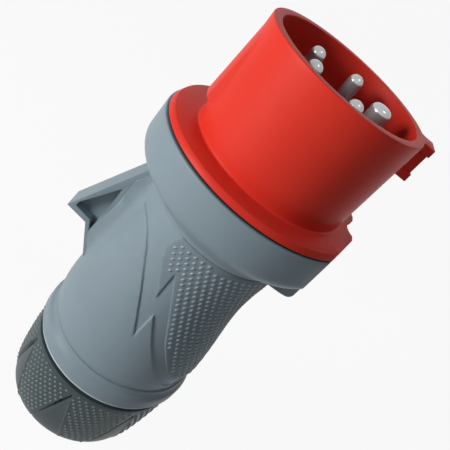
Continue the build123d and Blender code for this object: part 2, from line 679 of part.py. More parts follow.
# Housing, one grey moulding: collar, body, ring and threaded end, with the fin and the block
with BuildPart() as housing:
    with BuildSketch(Plane.XZ):
        with BuildLine():
            Polyline(
                (0, SPIGOT_BOTTOM_Z),
                (SPIGOT_R, SPIGOT_BOTTOM_Z),
                (SPIGOT_R, RING_BOTTOM_Z),
                (RING_R, RING_BOTTOM_Z),
                (RING_R, RING_TOP_Z),
                (CABLE_ROOM_R, RING_TOP_Z),
                (CABLE_ROOM_R, CREASE_Z),
                (CREASE_R, CREASE_Z),
            )
            Spline(
                (COLLAR_R, COLLAR_LOW_Z),
                *[(COLLAR_R - inset, COLLAR_LOW_Z - drop) for inset, drop in COLLAR_HEEL],
                (CREASE_R, CREASE_Z),
                tangents=((0, -1), (-1, -0.85)),
            )
            Polyline(
                (COLLAR_R, COLLAR_LOW_Z),
                (COLLAR_R, COLLAR_TOP_Z - COLLAR_TOP_BREAK),
                (COLLAR_R - COLLAR_TOP_BREAK, COLLAR_TOP_Z),
                (0, COLLAR_TOP_Z),
                (0, SPIGOT_BOTTOM_Z),
            )
        make_face()
    revolve(axis=Axis.Z)
    ring_edges = (
        housing.edges()
        .filter_by(GeomType.CIRCLE)
        .filter_by(lambda e: abs(e.radius - RING_R) < 0.01)
    )
    fillet(ring_edges, RING_ROUND)
    add(body_solid(0))
    # channel and grip recess, cut before the fin and block are added
    add(channel, mode=Mode.SUBTRACT)
    add(grip_recess, mode=Mode.SUBTRACT)
    # flat and facets of the collar at 6 o'clock
    add(side_cut(0, WAIST_Z, MOUTH_Z), mode=Mode.SUBTRACT)
    # block for the lock slide
    with BuildSketch(Plane.XZ):
        with BuildLine():
            Polyline(
                (WAIST_R - BODY_WALL, BLOCK_BOTTOM_Z),
                (FLAT_X - BLOCK_ROUND, BLOCK_BOTTOM_Z),
            )
            RadiusArc(
                (FLAT_X - BLOCK_ROUND, BLOCK_BOTTOM_Z),
                (FLAT_X, BLOCK_BOTTOM_Z + BLOCK_ROUND),
                -BLOCK_ROUND,
            )
            Polyline(
                (FLAT_X, BLOCK_BOTTOM_Z + BLOCK_ROUND),
                (FLAT_X, COLLAR_LIP_Z),
                (WAIST_R - BODY_WALL, COLLAR_LIP_Z),
                (WAIST_R - BODY_WALL, BLOCK_BOTTOM_Z),
            )
        make_face()
    extrude(amount=BLOCK_W / 2, both=True)
    # fin
    with BuildSketch(Plane.XZ):
        with BuildLine():
            fin_root = -(WAIST_R - BODY_WALL)
            Polyline(
                (fin_root, CREASE_Z - FIN_ROOT_DROP),
                (FIN_ROOT_X, CREASE_Z - FIN_ROOT_DROP),
                (FIN_TIP_X, CREASE_Z - FIN_TIP_DROP),
                (FIN_UNDER_X, CREASE_Z - FIN_UNDER_DROP),
                (FIN_FOOT_X, CREASE_Z - FIN_FOOT_DROP),
                (fin_root, CREASE_Z - FIN_FOOT_DROP),
                close=True,
            )
        make_face()
    extrude(amount=FIN_T / 2, both=True)
    # pockets in both sides of the fin, leaving a rim and a web
    pocket = (POCKET_TOP, POCKET_TIP, POCKET_NOSE, POCKET_UNDER, POCKET_FOOT)
    for side in (1, -1):
        with BuildSketch(Plane.XZ.offset(side * FIN_T / 2)):
            with BuildLine():
                Polyline(*[(x, CREASE_Z + rise) for x, rise in pocket], close=True)
            make_face()
        extrude(amount=-side * (FIN_T - FIN_WEB_T) / 2, mode=Mode.SUBTRACT)
    # room inside, the ledge's bore and the seat of the gland seal
    add(room.part, mode=Mode.SUBTRACT)
    with Locations((0, 0, LEDGE_Z - CUT_OVER)):
        Cylinder(
            LEDGE_BORE_R,
            LEDGE_T + 2 * CUT_OVER,
            align=(Align.CENTER, Align.CENTER, Align.MIN),
            mode=Mode.SUBTRACT,
        )
    with Locations((0, 0, SPIGOT_BOTTOM_Z)):
        Cylinder(
            SPIGOT_BORE_R,
            LEDGE_Z - SPIGOT_BOTTOM_Z,
            align=(Align.CENTER, Align.CENTER, Align.MIN),
            mode=Mode.SUBTRACT,
        )
    # entry slots for the bayonet lugs in the collar's lip
    for number in range(LUG_COUNT):
        middle = LUG_START + LUG_ENTRY_TURN + number * LUG_PITCH
        add(
            sector(
                COLLAR_BORE_R - CUT_OVER,
                LUG_R + FIT_GAP,
                COLLAR_LIP_Z - CUT_OVER,
                COLLAR_TOP_Z + CUT_OVER,
                middle,
                LUG_ANGLE + LUG_ENTRY_EXTRA,
            ),
            mode=Mode.SUBTRACT,
        )
    # undercut slot for the lock slide and the slit for its tongue
    slot_low_z = SLIDE_BOTTOM_Z - SLIDE_TRAVEL - SLIDE_PLAY
    slot_h = SLIDE_LENGTH + SLIDE_TRAVEL + 2 * SLIDE_PLAY
    with Locations((SLIDE_FLOOR_X, 0, slot_low_z)):
        Box(
            SLIDE_FOOT_T + 2 * SLIDE_PLAY,
            SLIDE_W + 2 * SLIDE_PLAY,
            slot_h,
            align=(Align.MIN, Align.CENTER, Align.MIN),
            mode=Mode.SUBTRACT,
        )
        Box(
            FLAT_X - SLIDE_FLOOR_X + CUT_OVER,
            SLIDE_W - 2 * SLIDE_LIP + 2 * SLIDE_PLAY,
            slot_h,
            align=(Align.MIN, Align.CENTER, Align.MIN),
            mode=Mode.SUBTRACT,
        )
    with Locations((SLIDE_FLOOR_X + CUT_OVER, 0, TONGUE_BOTTOM_Z - SLIDE_TRAVEL - FIT_GAP)):
        Box(
            TONGUE_SLIT_DEPTH + CUT_OVER,
            TONGUE_W + 2 * FIT_GAP,
            TONGUE_H + SLIDE_TRAVEL + 2 * FIT_GAP,
            align=(Align.MAX, Align.CENTER, Align.MIN),
            mode=Mode.SUBTRACT,
        )

# Grip, a soft overmoulding that lies in its recess in the housing
with BuildPart() as grip:
    add(grip_shell)
    with Locations((FLAT_X, 0, BLOCK_BOTTOM_Z - FIT_GAP)):
        Box(
            2 * (FLAT_X - WAIST_R + BODY_WALL),
            BLOCK_W + 2 * FIT_GAP,
            COLLAR_TOP_Z - BLOCK_BOTTOM_Z,
            align=(Align.CENTER, Align.CENTER, Align.MIN),
            mode=Mode.SUBTRACT,
        )

# Lock slide, a ribbed plate held in the block's undercut slot, with a tongue to the skirt
with BuildPart() as lock_slide:
    foot_x = SLIDE_FLOOR_X + SLIDE_PLAY
    with Locations((foot_x, 0, SLIDE_BOTTOM_Z)):
        Box(SLIDE_FOOT_T, SLIDE_W, SLIDE_LENGTH, align=(Align.MIN, Align.CENTER, Align.MIN))
        Box(
            SLIDE_FOOT_T + SLIDE_TOP_T,
            SLIDE_W - 2 * SLIDE_LIP,
            SLIDE_LENGTH,
            align=(Align.MIN, Align.CENTER, Align.MIN),
        )
    rib_low_z = SLIDE_BOTTOM_Z + (SLIDE_LENGTH - (SLIDE_RIB_COUNT - 1) * SLIDE_RIB_PITCH) / 2
    for number in range(SLIDE_RIB_COUNT):
        with Locations((foot_x, 0, rib_low_z + number * SLIDE_RIB_PITCH)):
            Box(
                SLIDE_FOOT_T + SLIDE_TOP_T + SLIDE_RIB_REACH,
                SLIDE_W - 2 * SLIDE_LIP - 2 * SLIDE_RIB_INSET,
                SLIDE_RIB_T,
                align=(Align.MIN, Align.CENTER, Align.CENTER),
            )
    with Locations((foot_x, 0, TONGUE_BOTTOM_Z)):
        Box(
            foot_x - SKIRT_R + TONGUE_REACH,
            TONGUE_W,
            TONGUE_H,
            align=(Align.MAX, Align.CENTER, Align.MIN),
        )

# Slip ring, the thin light ring between the body and the nut
with BuildPart() as slip_ring:
    with BuildSketch(Plane.XY.offset(NUT_TOP_Z)):
        Circle(SLIP_RING_R)
        Circle(NUT_BORE_R, mode=Mode.SUBTRACT)
    extrude(amount=SLIP_RING_T)
    slip_edges = (
        slip_ring.edges()
        .filter_by(GeomType.CIRCLE)
        .filter_by(lambda e: abs(e.radius - SLIP_RING_R) < 0.01)
    )
    chamfer(slip_edges, 0.3)


def nut_radius(z):
    """Radius of the nut's side at a height, on straight lines between its three sections."""
    if z > NUT_MID_Z:
        return NUT_MID_R + (NUT_R - NUT_MID_R) * (z - NUT_MID_Z) / (NUT_TOP_Z - NUT_MID_Z)
    return NUT_END_R + (NUT_MID_R - NUT_END_R) * (z - NUT_END_Z) / (NUT_MID_Z - NUT_END_Z)


def nut_point(angle, z, sink):
    """A point on the nut's side, sunk below it."""
    reach = nut_radius(z) - sink
    return Vector(reach * cos(radians(angle)), reach * sin(radians(angle)), z)


# Gland nut, a knurled cap with smooth wedge facets round it
with BuildPart() as gland_nut:
    with BuildSketch(Plane.XZ):
        with BuildLine():
            Polyline(
                (NUT_BORE_R, NUT_TOP_Z),
                (NUT_LAND_R, NUT_TOP_Z),
                (NUT_LAND_R, NUT_TOP_Z - NUT_EDGE_DROP),
                (NUT_R, NUT_TOP_Z - NUT_EDGE_DROP),
            )
            Spline(
                (NUT_R, NUT_TOP_Z - NUT_EDGE_DROP),
                (NUT_MID_R, NUT_MID_Z),
                (NUT_END_R, NUT_END_Z),
                tangents=((-0.03, -1), (-0.35, -1)),
            )
            RadiusArc(
                (NUT_END_R, NUT_END_Z),
                (NUT_END_R - NUT_END_ROUND, 0),
                NUT_END_ROUND + 0.4,
            )
            Polyline(
                (NUT_END_R - NUT_END_ROUND, 0),
                (NUT_ENTRY_R, 0),
                (NUT_ENTRY_R, NUT_ENTRY_T),
                (CAGE_TIP_R, CAGE_TIP_Z - CAGE_CONE_GAP),
                (CAGE_RING_R, CAGE_RING_LOW_Z - CAGE_CONE_GAP),
                (NUT_BORE_R, CAGE_RING_LOW_Z),
                (NUT_BORE_R, NUT_TOP_Z),
            )
        make_face()
    revolve(axis=Axis.Z)
    for number in range(NUT_WEDGE_COUNT):
        middle = NUT_WEDGE_FIRST + number * 360 / NUT_WEDGE_COUNT
        apex = nut_point(middle, NUT_WEDGE_APEX_Z, 0)
        low_left = nut_point(middle - NUT_WEDGE_HALF, NUT_WEDGE_BASE_Z, NUT_WEDGE_STEP)
        low_right = nut_point(middle + NUT_WEDGE_HALF, NUT_WEDGE_BASE_Z, 0)
        across = (low_right - low_left).normalized()
        normal = (apex - low_left).cross(across) * -1
        facet = Plane(origin=apex, x_dir=tuple(across), z_dir=tuple(normal.normalized()))
        stretch = (NUT_WEDGE_APEX_Z + 1.0) / (NUT_WEDGE_APEX_Z - NUT_WEDGE_BASE_Z)
        ends = [apex, apex + (low_right - apex) * stretch, apex + (low_left - apex) * stretch]
        corners = [facet.to_local_coords(point) for point in ends]
        with BuildSketch(facet):
            with BuildLine():
                Polyline(*[(corner.X, corner.Y) for corner in corners], close=True)
            make_face()
        extrude(amount=4.0, mode=Mode.SUBTRACT)

# Clamp cage, a ring with springy fingers that the nut's cone presses on the seal
with BuildPart() as clamp_cage:
    with BuildSketch(Plane.XZ):
        with BuildLine():
            Polyline(
                (SPIGOT_BORE_R + 0.2, SPIGOT_BOTTOM_Z),
                (CAGE_RING_R, SPIGOT_BOTTOM_Z),
                (CAGE_RING_R, CAGE_RING_LOW_Z),
                (CAGE_TIP_R, CAGE_TIP_Z),
                (CAGE_TIP_R - CAGE_WALL, CAGE_TIP_Z),
                (SPIGOT_BORE_R + 0.2, CAGE_RING_LOW_Z - 0.6),
                close=True,
            )
        make_face()
    revolve(axis=Axis.Z)
    for number in range(CAGE_SLOT_COUNT):
        with BuildSketch(Plane.XY.offset(CAGE_TIP_Z - 0.5)):
            with PolarLocations(0, 1, start_angle=number * 360 / CAGE_SLOT_COUNT):
                Rectangle(SPIGOT_R + 2.0, CAGE_SLOT_W, align=(Align.MIN, Align.CENTER))
        extrude(amount=CAGE_RING_LOW_Z - CAGE_TIP_Z + 0.5, mode=Mode.SUBTRACT)

# Gland seal, a soft sleeve round the cable, seated under the housing's ledge
with BuildPart() as gland_seal:
    seal_r = SPIGOT_BORE_R - SEAT_GAP
    with BuildSketch(Plane.XZ):
        with BuildLine():
            Polyline(
                (GLAND_SEAL_BORE_R, GLAND_SEAL_BOTTOM_Z),
                (CAGE_TIP_R - 0.1, GLAND_SEAL_BOTTOM_Z),
                (seal_r, CAGE_RING_LOW_Z - 0.4),
                (seal_r, LEDGE_Z),
                (GLAND_SEAL_BORE_R, LEDGE_Z),
                close=True,
            )
        make_face()
    revolve(axis=Axis.Z)
    groove_z = SPIGOT_BOTTOM_Z + 4.5
    for number in range(GLAND_SEAL_GROOVES):
        with BuildSketch(Plane.XY.offset(groove_z + number * GLAND_GROOVE_PITCH)):
            Circle(seal_r + 1.0)
            Circle(seal_r - GLAND_GROOVE_DEPTH, mode=Mode.SUBTRACT)
        extrude(amount=GLAND_GROOVE_H, mode=Mode.SUBTRACT)

# Every piece with its name, written to its own file
pieces = {
    "shroud": shroud,
    "contact_carrier": contact_carrier,
    "carrier_screws": carrier_screws,
    "phase_terminal_screws": phase_terminal_screws,
    "earth_terminal_screw": earth_terminal_screw,
    "phase_clamp_plates": phase_clamp_plates,
    "earth_clamp_plate": earth_clamp_plate,
    "flange_seal": flange_seal,
    "housing": housing,
    "grip": grip,
    "lock_slide": lock_slide,
    "slip_ring": slip_ring,
    "gland_nut": gland_nut,
    "clamp_cage": clamp_cage,
    "gland_seal": gland_seal,
}
for name, pin in pins.items():
    pieces["pin_" + name] = pin

os.makedirs("parts", exist_ok=True)
for name, piece in pieces.items():
    piece.part.label = name
    export_step(piece.part, "parts/" + name + ".step")
    print(name, len(piece.part.solids()), round(piece.part.volume, 1))
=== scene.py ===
import math

import bmesh
import bpy
from mathutils import Matrix, Vector
from mathutils.geometry import interpolate_bezier


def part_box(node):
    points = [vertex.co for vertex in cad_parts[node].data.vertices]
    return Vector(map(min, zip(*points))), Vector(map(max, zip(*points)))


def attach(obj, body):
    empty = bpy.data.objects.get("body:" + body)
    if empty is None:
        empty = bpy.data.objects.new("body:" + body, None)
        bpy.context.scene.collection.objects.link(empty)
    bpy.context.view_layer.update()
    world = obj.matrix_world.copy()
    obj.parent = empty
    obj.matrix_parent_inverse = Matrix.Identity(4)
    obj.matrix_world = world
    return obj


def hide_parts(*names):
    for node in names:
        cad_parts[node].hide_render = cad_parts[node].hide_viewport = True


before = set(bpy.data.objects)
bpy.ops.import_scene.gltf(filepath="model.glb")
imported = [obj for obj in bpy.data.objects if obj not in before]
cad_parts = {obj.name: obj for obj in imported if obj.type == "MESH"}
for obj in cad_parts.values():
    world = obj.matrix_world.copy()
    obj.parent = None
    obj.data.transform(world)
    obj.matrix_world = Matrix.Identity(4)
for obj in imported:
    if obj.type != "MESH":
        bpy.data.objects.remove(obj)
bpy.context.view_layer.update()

# The studio: the plug stands on its gland nut on a pale floor, lit by a large soft lamp on its
# 12 o'clock side, a weak one above the camera and a small one that reaches the pins. The camera
# looks down from the near side and is rolled, so that the plug lies across the picture.
MM = 0.001
EYE = (-0.03230, -0.18321, 0.20455)
EYE_RIGHT = (0.7773, 0.1284, 0.6158)
EYE_UP = (-0.5878, 0.4971, 0.6383)
EYE_BACK = (-0.2242, -0.8582, 0.4619)
LENS_MM = 51.18
FRAME_SHIFT = (-0.0890, 0.0401)
FLOOR_HALF = 12.0
PLUG_MIDDLE = Vector((0.0, 0.0, 0.09))


def linear(code, alpha=1.0):
    """Linear colour of an sRGB hex code."""
    shares = [int(code[place:place + 2], 16) / 255 for place in (1, 3, 5)]
    return tuple(s / 12.92 if s <= 0.04045 else ((s + 0.055) / 1.055) ** 2.4 for s in shares) + (alpha,)


def add_node(tree, kind, links=None, **settings):
    """Adds a node, sets its properties and sockets, and links its inputs."""
    node = tree.nodes.new(kind)
    for key, value in settings.items():
        if key in node.bl_rna.properties.keys():
            setattr(node, key, value)
        else:
            node.inputs[key.replace("_", " ")].default_value = value
    for socket, source in (links or {}).items():
        tree.links.new(source, node.inputs[socket])
    return node


def fresh_tree(owner):
    """Empties a material's or a world's node tree."""
    owner.use_nodes = True
    owner.node_tree.nodes.clear()
    return owner.node_tree


def white_to_the_eye(tree):
    """1 for rays that come from the camera, a reflection or glass, otherwise 0."""
    path = add_node(tree, "ShaderNodeLightPath")
    seen = add_node(tree, "ShaderNodeMath", operation="MAXIMUM",
                    links={0: path.outputs["Is Camera Ray"], 1: path.outputs["Is Glossy Ray"]})
    return add_node(tree, "ShaderNodeMath", operation="MAXIMUM",
                    links={0: seen.outputs[0], 1: path.outputs["Is Transmission Ray"]}).outputs[0]


def painted_floor():
    """Matt white paint that looks paper white and still takes the plug's shadow."""
    FLOOR_GLOW = 0.93
    material = bpy.data.materials.new("painted_floor")
    tree = fresh_tree(material)
    paint = add_node(tree, "ShaderNodeBsdfDiffuse", Color=linear("#F4F4F4"))
    glow = add_node(tree, "ShaderNodeEmission", Color=linear("#FFFFFF"), Strength=1.0)
    share = add_node(tree, "ShaderNodeMath", operation="MULTIPLY", links={0: white_to_the_eye(tree)})
    share.inputs[1].default_value = FLOOR_GLOW
    mix = add_node(tree, "ShaderNodeMixShader",
                   links={0: share.outputs[0], 1: paint.outputs[0], 2: glow.outputs[0]})
    add_node(tree, "ShaderNodeOutputMaterial", links={"Surface": mix.outputs[0]})
    return material


sheet = bmesh.new()
bmesh.ops.create_grid(sheet, x_segments=1, y_segments=1, size=FLOOR_HALF)
floor_mesh = bpy.data.meshes.new("floor")
sheet.to_mesh(floor_mesh)
floor_mesh.materials.append(painted_floor())
floor = bpy.data.objects.new("floor", floor_mesh)
bpy.context.scene.collection.objects.link(floor)

world = bpy.data.worlds.new("studio_air")
bpy.context.scene.world = world
air = fresh_tree(world)
AIR_LIGHT = 0.05
air_seen = add_node(air, "ShaderNodeBackground", Color=linear("#FFFFFF"), Strength=1.0)
air_lit = add_node(air, "ShaderNodeBackground", Color=linear("#D5E4FF"), Strength=AIR_LIGHT)
air_mix = add_node(air, "ShaderNodeMixShader",
                   links={0: white_to_the_eye(air), 1: air_lit.outputs[0], 2: air_seen.outputs[0]})
add_node(air, "ShaderNodeOutputWorld", links={"Surface": air_mix.outputs[0]})


def soft_lamp(name, turn, rise, reach, width, watts):
    """A square lamp that looks at the plug's middle, turned from the near side and raised, in degrees."""
    data = bpy.data.lights.new(name, "AREA")
    data.shape = "SQUARE"
    data.size = width
    data.energy = watts
    lamp = bpy.data.objects.new(name, data)
    side = math.cos(math.radians(rise))
    out = Vector((math.sin(math.radians(turn)) * side, -math.cos(math.radians(turn)) * side,
                  math.sin(math.radians(rise))))
    lamp.location = PLUG_MIDDLE + out * reach
    lamp.rotation_euler = out.to_track_quat("Z", "Y").to_euler()
    bpy.context.scene.collection.objects.link(lamp)


soft_lamp("window_lamp", turn=-60, rise=10, reach=0.62, width=0.22, watts=3.2)
soft_lamp("fill_lamp", turn=-10, rise=30, reach=0.70, width=0.50, watts=0.15)
soft_lamp("mouth_lamp", turn=55, rise=72, reach=0.60, width=0.16, watts=0.30)

eye_data = bpy.data.cameras.new("eye")
eye_data.lens = LENS_MM
eye_data.shift_x, eye_data.shift_y = FRAME_SHIFT
eye_data.clip_start = 0.01
eye = bpy.data.objects.new("eye", eye_data)
eye.matrix_world = Matrix.Translation(EYE) @ Matrix((EYE_RIGHT, EYE_UP, EYE_BACK)).transposed().to_4x4()
bpy.context.scene.collection.objects.link(eye)
bpy.context.scene.camera = eye
bpy.context.scene.view_settings.view_transform = "Standard"

# The shroud, one red moulding of glass-filled polyamide: the sleeve round the pins with its
# floor, the flange with its flat at 6 o'clock, and the skirt that locks in the housing.
# The key at the mouth and the cover catch at 12 o'clock are part of the same moulding.
MOUTH_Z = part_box("shroud")[1].z / MM
FLAT_X = 33.2
SLEEVE_R = 28.5
SLEEVE_ROOT_R = 27.7
SLEEVE_BORE_R = 25.4
SLEEVE_DEPTH = 36.5
SLEEVE_FLOOR_Z = MOUTH_Z - SLEEVE_DEPTH
FLOOR_UNDER_Z = SLEEVE_FLOOR_Z - 5.0
FLANGE_T = 2.0
FLANGE_UNDER_Z = SLEEVE_FLOOR_Z - FLANGE_T
FLANGE_R = 36.8
FLANGE_SIDE_R = FLANGE_R - 0.08
SKIRT_R = 30.2
SKIRT_BORE_R = 27.6
SKIRT_END_Z = FLANGE_UNDER_Z - 14.0
BORE_FILLET = 1.0
RIM_ROUND = 0.35
ROOT_ROUND = 0.7
SPIN_STEPS = 240
EDGE_ANGLE = math.radians(38)


def arc(centre, radius, start, end, steps):
    """Points of an arc in (radius, height), between two angles in degrees."""
    turns = [math.radians(start + (end - start) * step / steps) for step in range(steps + 1)]
    return [(centre[0] + radius * math.cos(turn), centre[1] + radius * math.sin(turn)) for turn in turns]


def run(start, end, pitch):
    """Points evenly spaced on a line, without its ends."""
    steps = max(1, round(math.dist(start, end) / pitch))
    return [(start[0] + (end[0] - start[0]) * step / steps, start[1] + (end[1] - start[1]) * step / steps)
            for step in range(1, steps)]


def turned(outline, closed=True):
    """Spins an outline in (radius, height) a full turn round the plug's axis."""
    shape = bmesh.new()
    line = [shape.verts.new((radius, 0, height)) for radius, height in outline]
    pairs = list(zip(line, line[1:])) + ([(line[-1], line[0])] if closed else [])
    for pair in pairs:
        shape.edges.new(pair)
    bmesh.ops.spin(shape, geom=shape.verts[:] + shape.edges[:], cent=(0, 0, 0), axis=(0, 0, 1),
                   angle=2 * math.pi, steps=SPIN_STEPS, use_merge=True)
    bmesh.ops.remove_doubles(shape, verts=shape.verts, dist=0.001)
    bmesh.ops.recalc_face_normals(shape, faces=shape.faces)
    return shape


def with_edges(faces):
    """Faces followed by their edges and corners, in the same order on every run."""
    edges = dict.fromkeys(edge for face in faces for edge in face.edges)
    corners = dict.fromkeys(corner for face in faces for corner in face.verts)
    return faces + list(edges) + list(corners)


def slice_off(shape, point, normal):
    """Cuts away what lies past a plane and closes the cut."""
    geometry = shape.verts[:] + shape.edges[:] + shape.faces[:]
    cut = bmesh.ops.bisect_plane(shape, geom=geometry, dist=0.0005, plane_co=point, plane_no=normal,
                                 clear_outer=True)
    rim = [item for item in cut["geom_cut"] if isinstance(item, bmesh.types.BMEdge)]
    bmesh.ops.holes_fill(shape, edges=rim, sides=0)


def rounded(shape, edges, width):
    """Rounds edges of a moulding."""
    bmesh.ops.bevel(shape, geom=edges, offset=width, offset_type="OFFSET", affect="EDGES",
                    segments=3, profile=0.5, material=-1, clamp_overlap=True)


def sharp_edges(shape, angle=EDGE_ANGLE):
    """Edges between two faces that turn by more than an angle."""
    return [edge for edge in shape.edges if len(edge.link_faces) == 2 and edge.calc_face_angle() > angle]


def prism(outline, axis, low, high):
    """An outline pushed along an axis: along Y it is in (x, z), along Z in (x, y)."""
    shape = bmesh.new()
    place = (lambda a, b: (a, low, b)) if axis == "Y" else (lambda a, b: (a, b, low))
    side = shape.faces.new([shape.verts.new(place(a, b)) for a, b in outline])
    pushed = bmesh.ops.extrude_face_region(shape, geom=[side])
    moved = [item for item in pushed["geom"] if isinstance(item, bmesh.types.BMVert)]
    push = (0, high - low, 0) if axis == "Y" else (0, 0, high - low)
    bmesh.ops.translate(shape, verts=moved, vec=push)
    bmesh.ops.recalc_face_normals(shape, faces=shape.faces)
    return shape


def join(shape, *others):
    """Moves the faces of other shapes into the first one."""
    for other in others:
        mesh = bpy.data.meshes.new("passing")
        other.to_mesh(mesh)
        other.free()
        shape.from_mesh(mesh)
        bpy.data.meshes.remove(mesh)


def place_piece(name, shape, body, slot, material, *nodes):
    """Makes a shape in millimetres the finished piece that stands for its CAD nodes."""
    bmesh.ops.scale(shape, vec=(MM, MM, MM), verts=shape.verts)
    mesh = bpy.data.meshes.new(name)
    shape.to_mesh(mesh)
    shape.free()
    mesh.shade_smooth()
    mesh.set_sharp_from_angle(angle=EDGE_ANGLE)
    mesh.materials.append(material)
    piece = bpy.data.objects.new(name, mesh)
    bpy.context.scene.collection.objects.link(piece)
    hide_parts(*nodes)
    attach(piece, body)
    return piece


def moulded(name, colour, shade, roughness, grain_mm, grain_depth, gloss_level=0.2):
    """Injection moulding: a satin skin with the fine grain of the eroded mould, and faint flow clouds."""
    FLOW_MM = 14.0
    material = bpy.data.materials.new(name)
    tree = fresh_tree(material)
    place = add_node(tree, "ShaderNodeTexCoord").outputs["Object"]
    flow = add_node(tree, "ShaderNodeTexNoise", links={"Vector": place}, Scale=1 / (FLOW_MM * MM),
                    Detail=3.0, Roughness=0.55)
    tint = add_node(tree, "ShaderNodeMix", data_type="RGBA", links={"Factor": flow.outputs["Fac"]})
    tint.inputs[6].default_value = linear(shade)
    tint.inputs[7].default_value = linear(colour)
    grain = add_node(tree, "ShaderNodeTexNoise", links={"Vector": place}, Scale=1 / (grain_mm * MM),
                     Detail=2.0, Roughness=0.6)
    gloss = add_node(tree, "ShaderNodeMapRange", links={"Value": grain.outputs["Fac"]},
                     To_Min=roughness - 0.05, To_Max=roughness + 0.05)
    bump = add_node(tree, "ShaderNodeBump", links={"Height": grain.outputs["Fac"]}, Strength=0.35,
                    Distance=grain_depth * MM)
    skin = add_node(tree, "ShaderNodeBsdfPrincipled", IOR=1.53, Specular_IOR_Level=gloss_level,
                    links={"Base Color": tint.outputs[2], "Roughness": gloss.outputs[0],
                           "Normal": bump.outputs[0]})
    add_node(tree, "ShaderNodeOutputMaterial", links={"Surface": skin.outputs[0]})
    return material


# red polyamide: satin, a soft broad highlight, deep saturated shade
red_polyamide = moulded("red_polyamide", "#E23A2B", "#DA3224", roughness=0.45, grain_mm=0.35,
                        grain_depth=0.05, gloss_level=0.12)

CATCH_LEDGE_Z = SLEEVE_FLOOR_Z + 7.0
CATCH_TOP_Z = MOUTH_Z - 5.0
CATCH_LEDGE_T = 0.15
CATCH_REACH = 2.0
CATCH_HALF = 20.0
CATCH_SIDE = 5.0
rim_in = (SLEEVE_BORE_R + RIM_ROUND, MOUTH_Z - RIM_ROUND)
rim_out = (SLEEVE_R - RIM_ROUND, MOUTH_Z - RIM_ROUND)
root = (SLEEVE_ROOT_R + ROOT_ROUND, SLEEVE_FLOOR_Z + ROOT_ROUND)
ledge_r = SLEEVE_ROOT_R + (SLEEVE_R - SLEEVE_ROOT_R) * (CATCH_LEDGE_Z - SLEEVE_FLOOR_Z) / SLEEVE_DEPTH
shroud_outline = (
    [(0, SLEEVE_FLOOR_Z), (12.0, SLEEVE_FLOOR_Z), (SLEEVE_BORE_R - BORE_FILLET, SLEEVE_FLOOR_Z)]
    + arc((SLEEVE_BORE_R - BORE_FILLET, SLEEVE_FLOOR_Z + BORE_FILLET), BORE_FILLET, -90, 0, 4)[1:]
    + [(SLEEVE_BORE_R, SLEEVE_FLOOR_Z + 12.0), (SLEEVE_BORE_R, SLEEVE_FLOOR_Z + 24.0)]
    + arc(rim_in, RIM_ROUND, 180, 90, 4)
    + arc(rim_out, RIM_ROUND, 90, 0, 4)
    + run((SLEEVE_R, rim_out[1]), (ledge_r, CATCH_LEDGE_Z), 1.5)
    + [(ledge_r, CATCH_LEDGE_Z), (ledge_r, CATCH_LEDGE_Z - CATCH_LEDGE_T)]
    + run((ledge_r, CATCH_LEDGE_Z - CATCH_LEDGE_T), (SLEEVE_ROOT_R, root[1]), 1.5)
    + arc(root, ROOT_ROUND, 180, 270, 5)
    + [(FLANGE_R - 1.15, SLEEVE_FLOOR_Z), (FLANGE_R - 0.95, SLEEVE_FLOOR_Z - 0.15)]
    + [(FLANGE_SIDE_R, FLANGE_UNDER_Z + 0.25), (FLANGE_SIDE_R, FLANGE_UNDER_Z + 0.1)]
    + [(FLANGE_R - 0.2, FLANGE_UNDER_Z), (SKIRT_R, FLANGE_UNDER_Z), (SKIRT_R, SKIRT_END_Z)]
    + [(SKIRT_BORE_R, SKIRT_END_Z), (SKIRT_BORE_R, FLOOR_UNDER_Z), (0, FLOOR_UNDER_Z)]
)
shroud = turned(shroud_outline, closed=False)


def ease(share):
    """Goes softly from 0 to 1."""
    share = min(1.0, max(0.0, share))
    return share * share * (3 - 2 * share)


# the catch swells out of the sleeve's wall, down to a ledge that the socket's cover snaps behind
for point in shroud.verts:
    if point.co.xy.length > SLEEVE_ROOT_R - 0.1 and CATCH_LEDGE_Z - 0.01 < point.co.z < CATCH_TOP_Z:
        aside = 180 - abs(math.degrees(math.atan2(point.co.y, point.co.x)))
        swell = CATCH_REACH * (CATCH_TOP_Z - point.co.z) / (CATCH_TOP_Z - CATCH_LEDGE_Z)
        swell *= ease((CATCH_HALF - aside) / CATCH_SIDE)
        point.co.xy *= (point.co.xy.length + swell) / point.co.xy.length

# at 6 o'clock the flange has a flat between two slanted facets, and a scallop in the flat
FACET_TURN = 19.5
FLAT_HALF = 8.0
SCALLOP_R = 6.8
SCALLOP_DEPTH = 2.5
SCALLOP_X = FLAT_X - SCALLOP_DEPTH + SCALLOP_R
SCALLOP_STEPS = 8
SCALLOP_FACES_X = 29.0
flat_sides = [
    Vector((math.cos(math.radians(turn)), math.sin(math.radians(turn)), 0))
    for turn in (0, FACET_TURN, -FACET_TURN)
]
for side in flat_sides:
    slice_off(shroud, (FLAT_X, math.copysign(FLAT_HALF, side.y), FLANGE_UNDER_Z), side)
scallop_half = math.sqrt(SCALLOP_R ** 2 - (SCALLOP_X - FLAT_X) ** 2)
for step in range(-SCALLOP_STEPS, SCALLOP_STEPS + 1):
    near = [face for face in shroud.faces if face.calc_center_median().x > SCALLOP_FACES_X
            and FLANGE_UNDER_Z - 0.1 < face.calc_center_median().z < SLEEVE_FLOOR_Z + 0.1]
    bmesh.ops.bisect_plane(shroud, geom=with_edges(near), dist=0.001, plane_no=(0, 1, 0),
                           plane_co=(0, scallop_half * step / SCALLOP_STEPS, 0))
for point in shroud.verts:
    on_flat = point.co.x > FLAT_X - 0.01 and FLANGE_UNDER_Z - 0.01 < point.co.z < SLEEVE_FLOOR_Z + 0.01
    if on_flat and abs(point.co.y) < scallop_half:
        point.co.x = SCALLOP_X - math.sqrt(SCALLOP_R ** 2 - point.co.y ** 2)

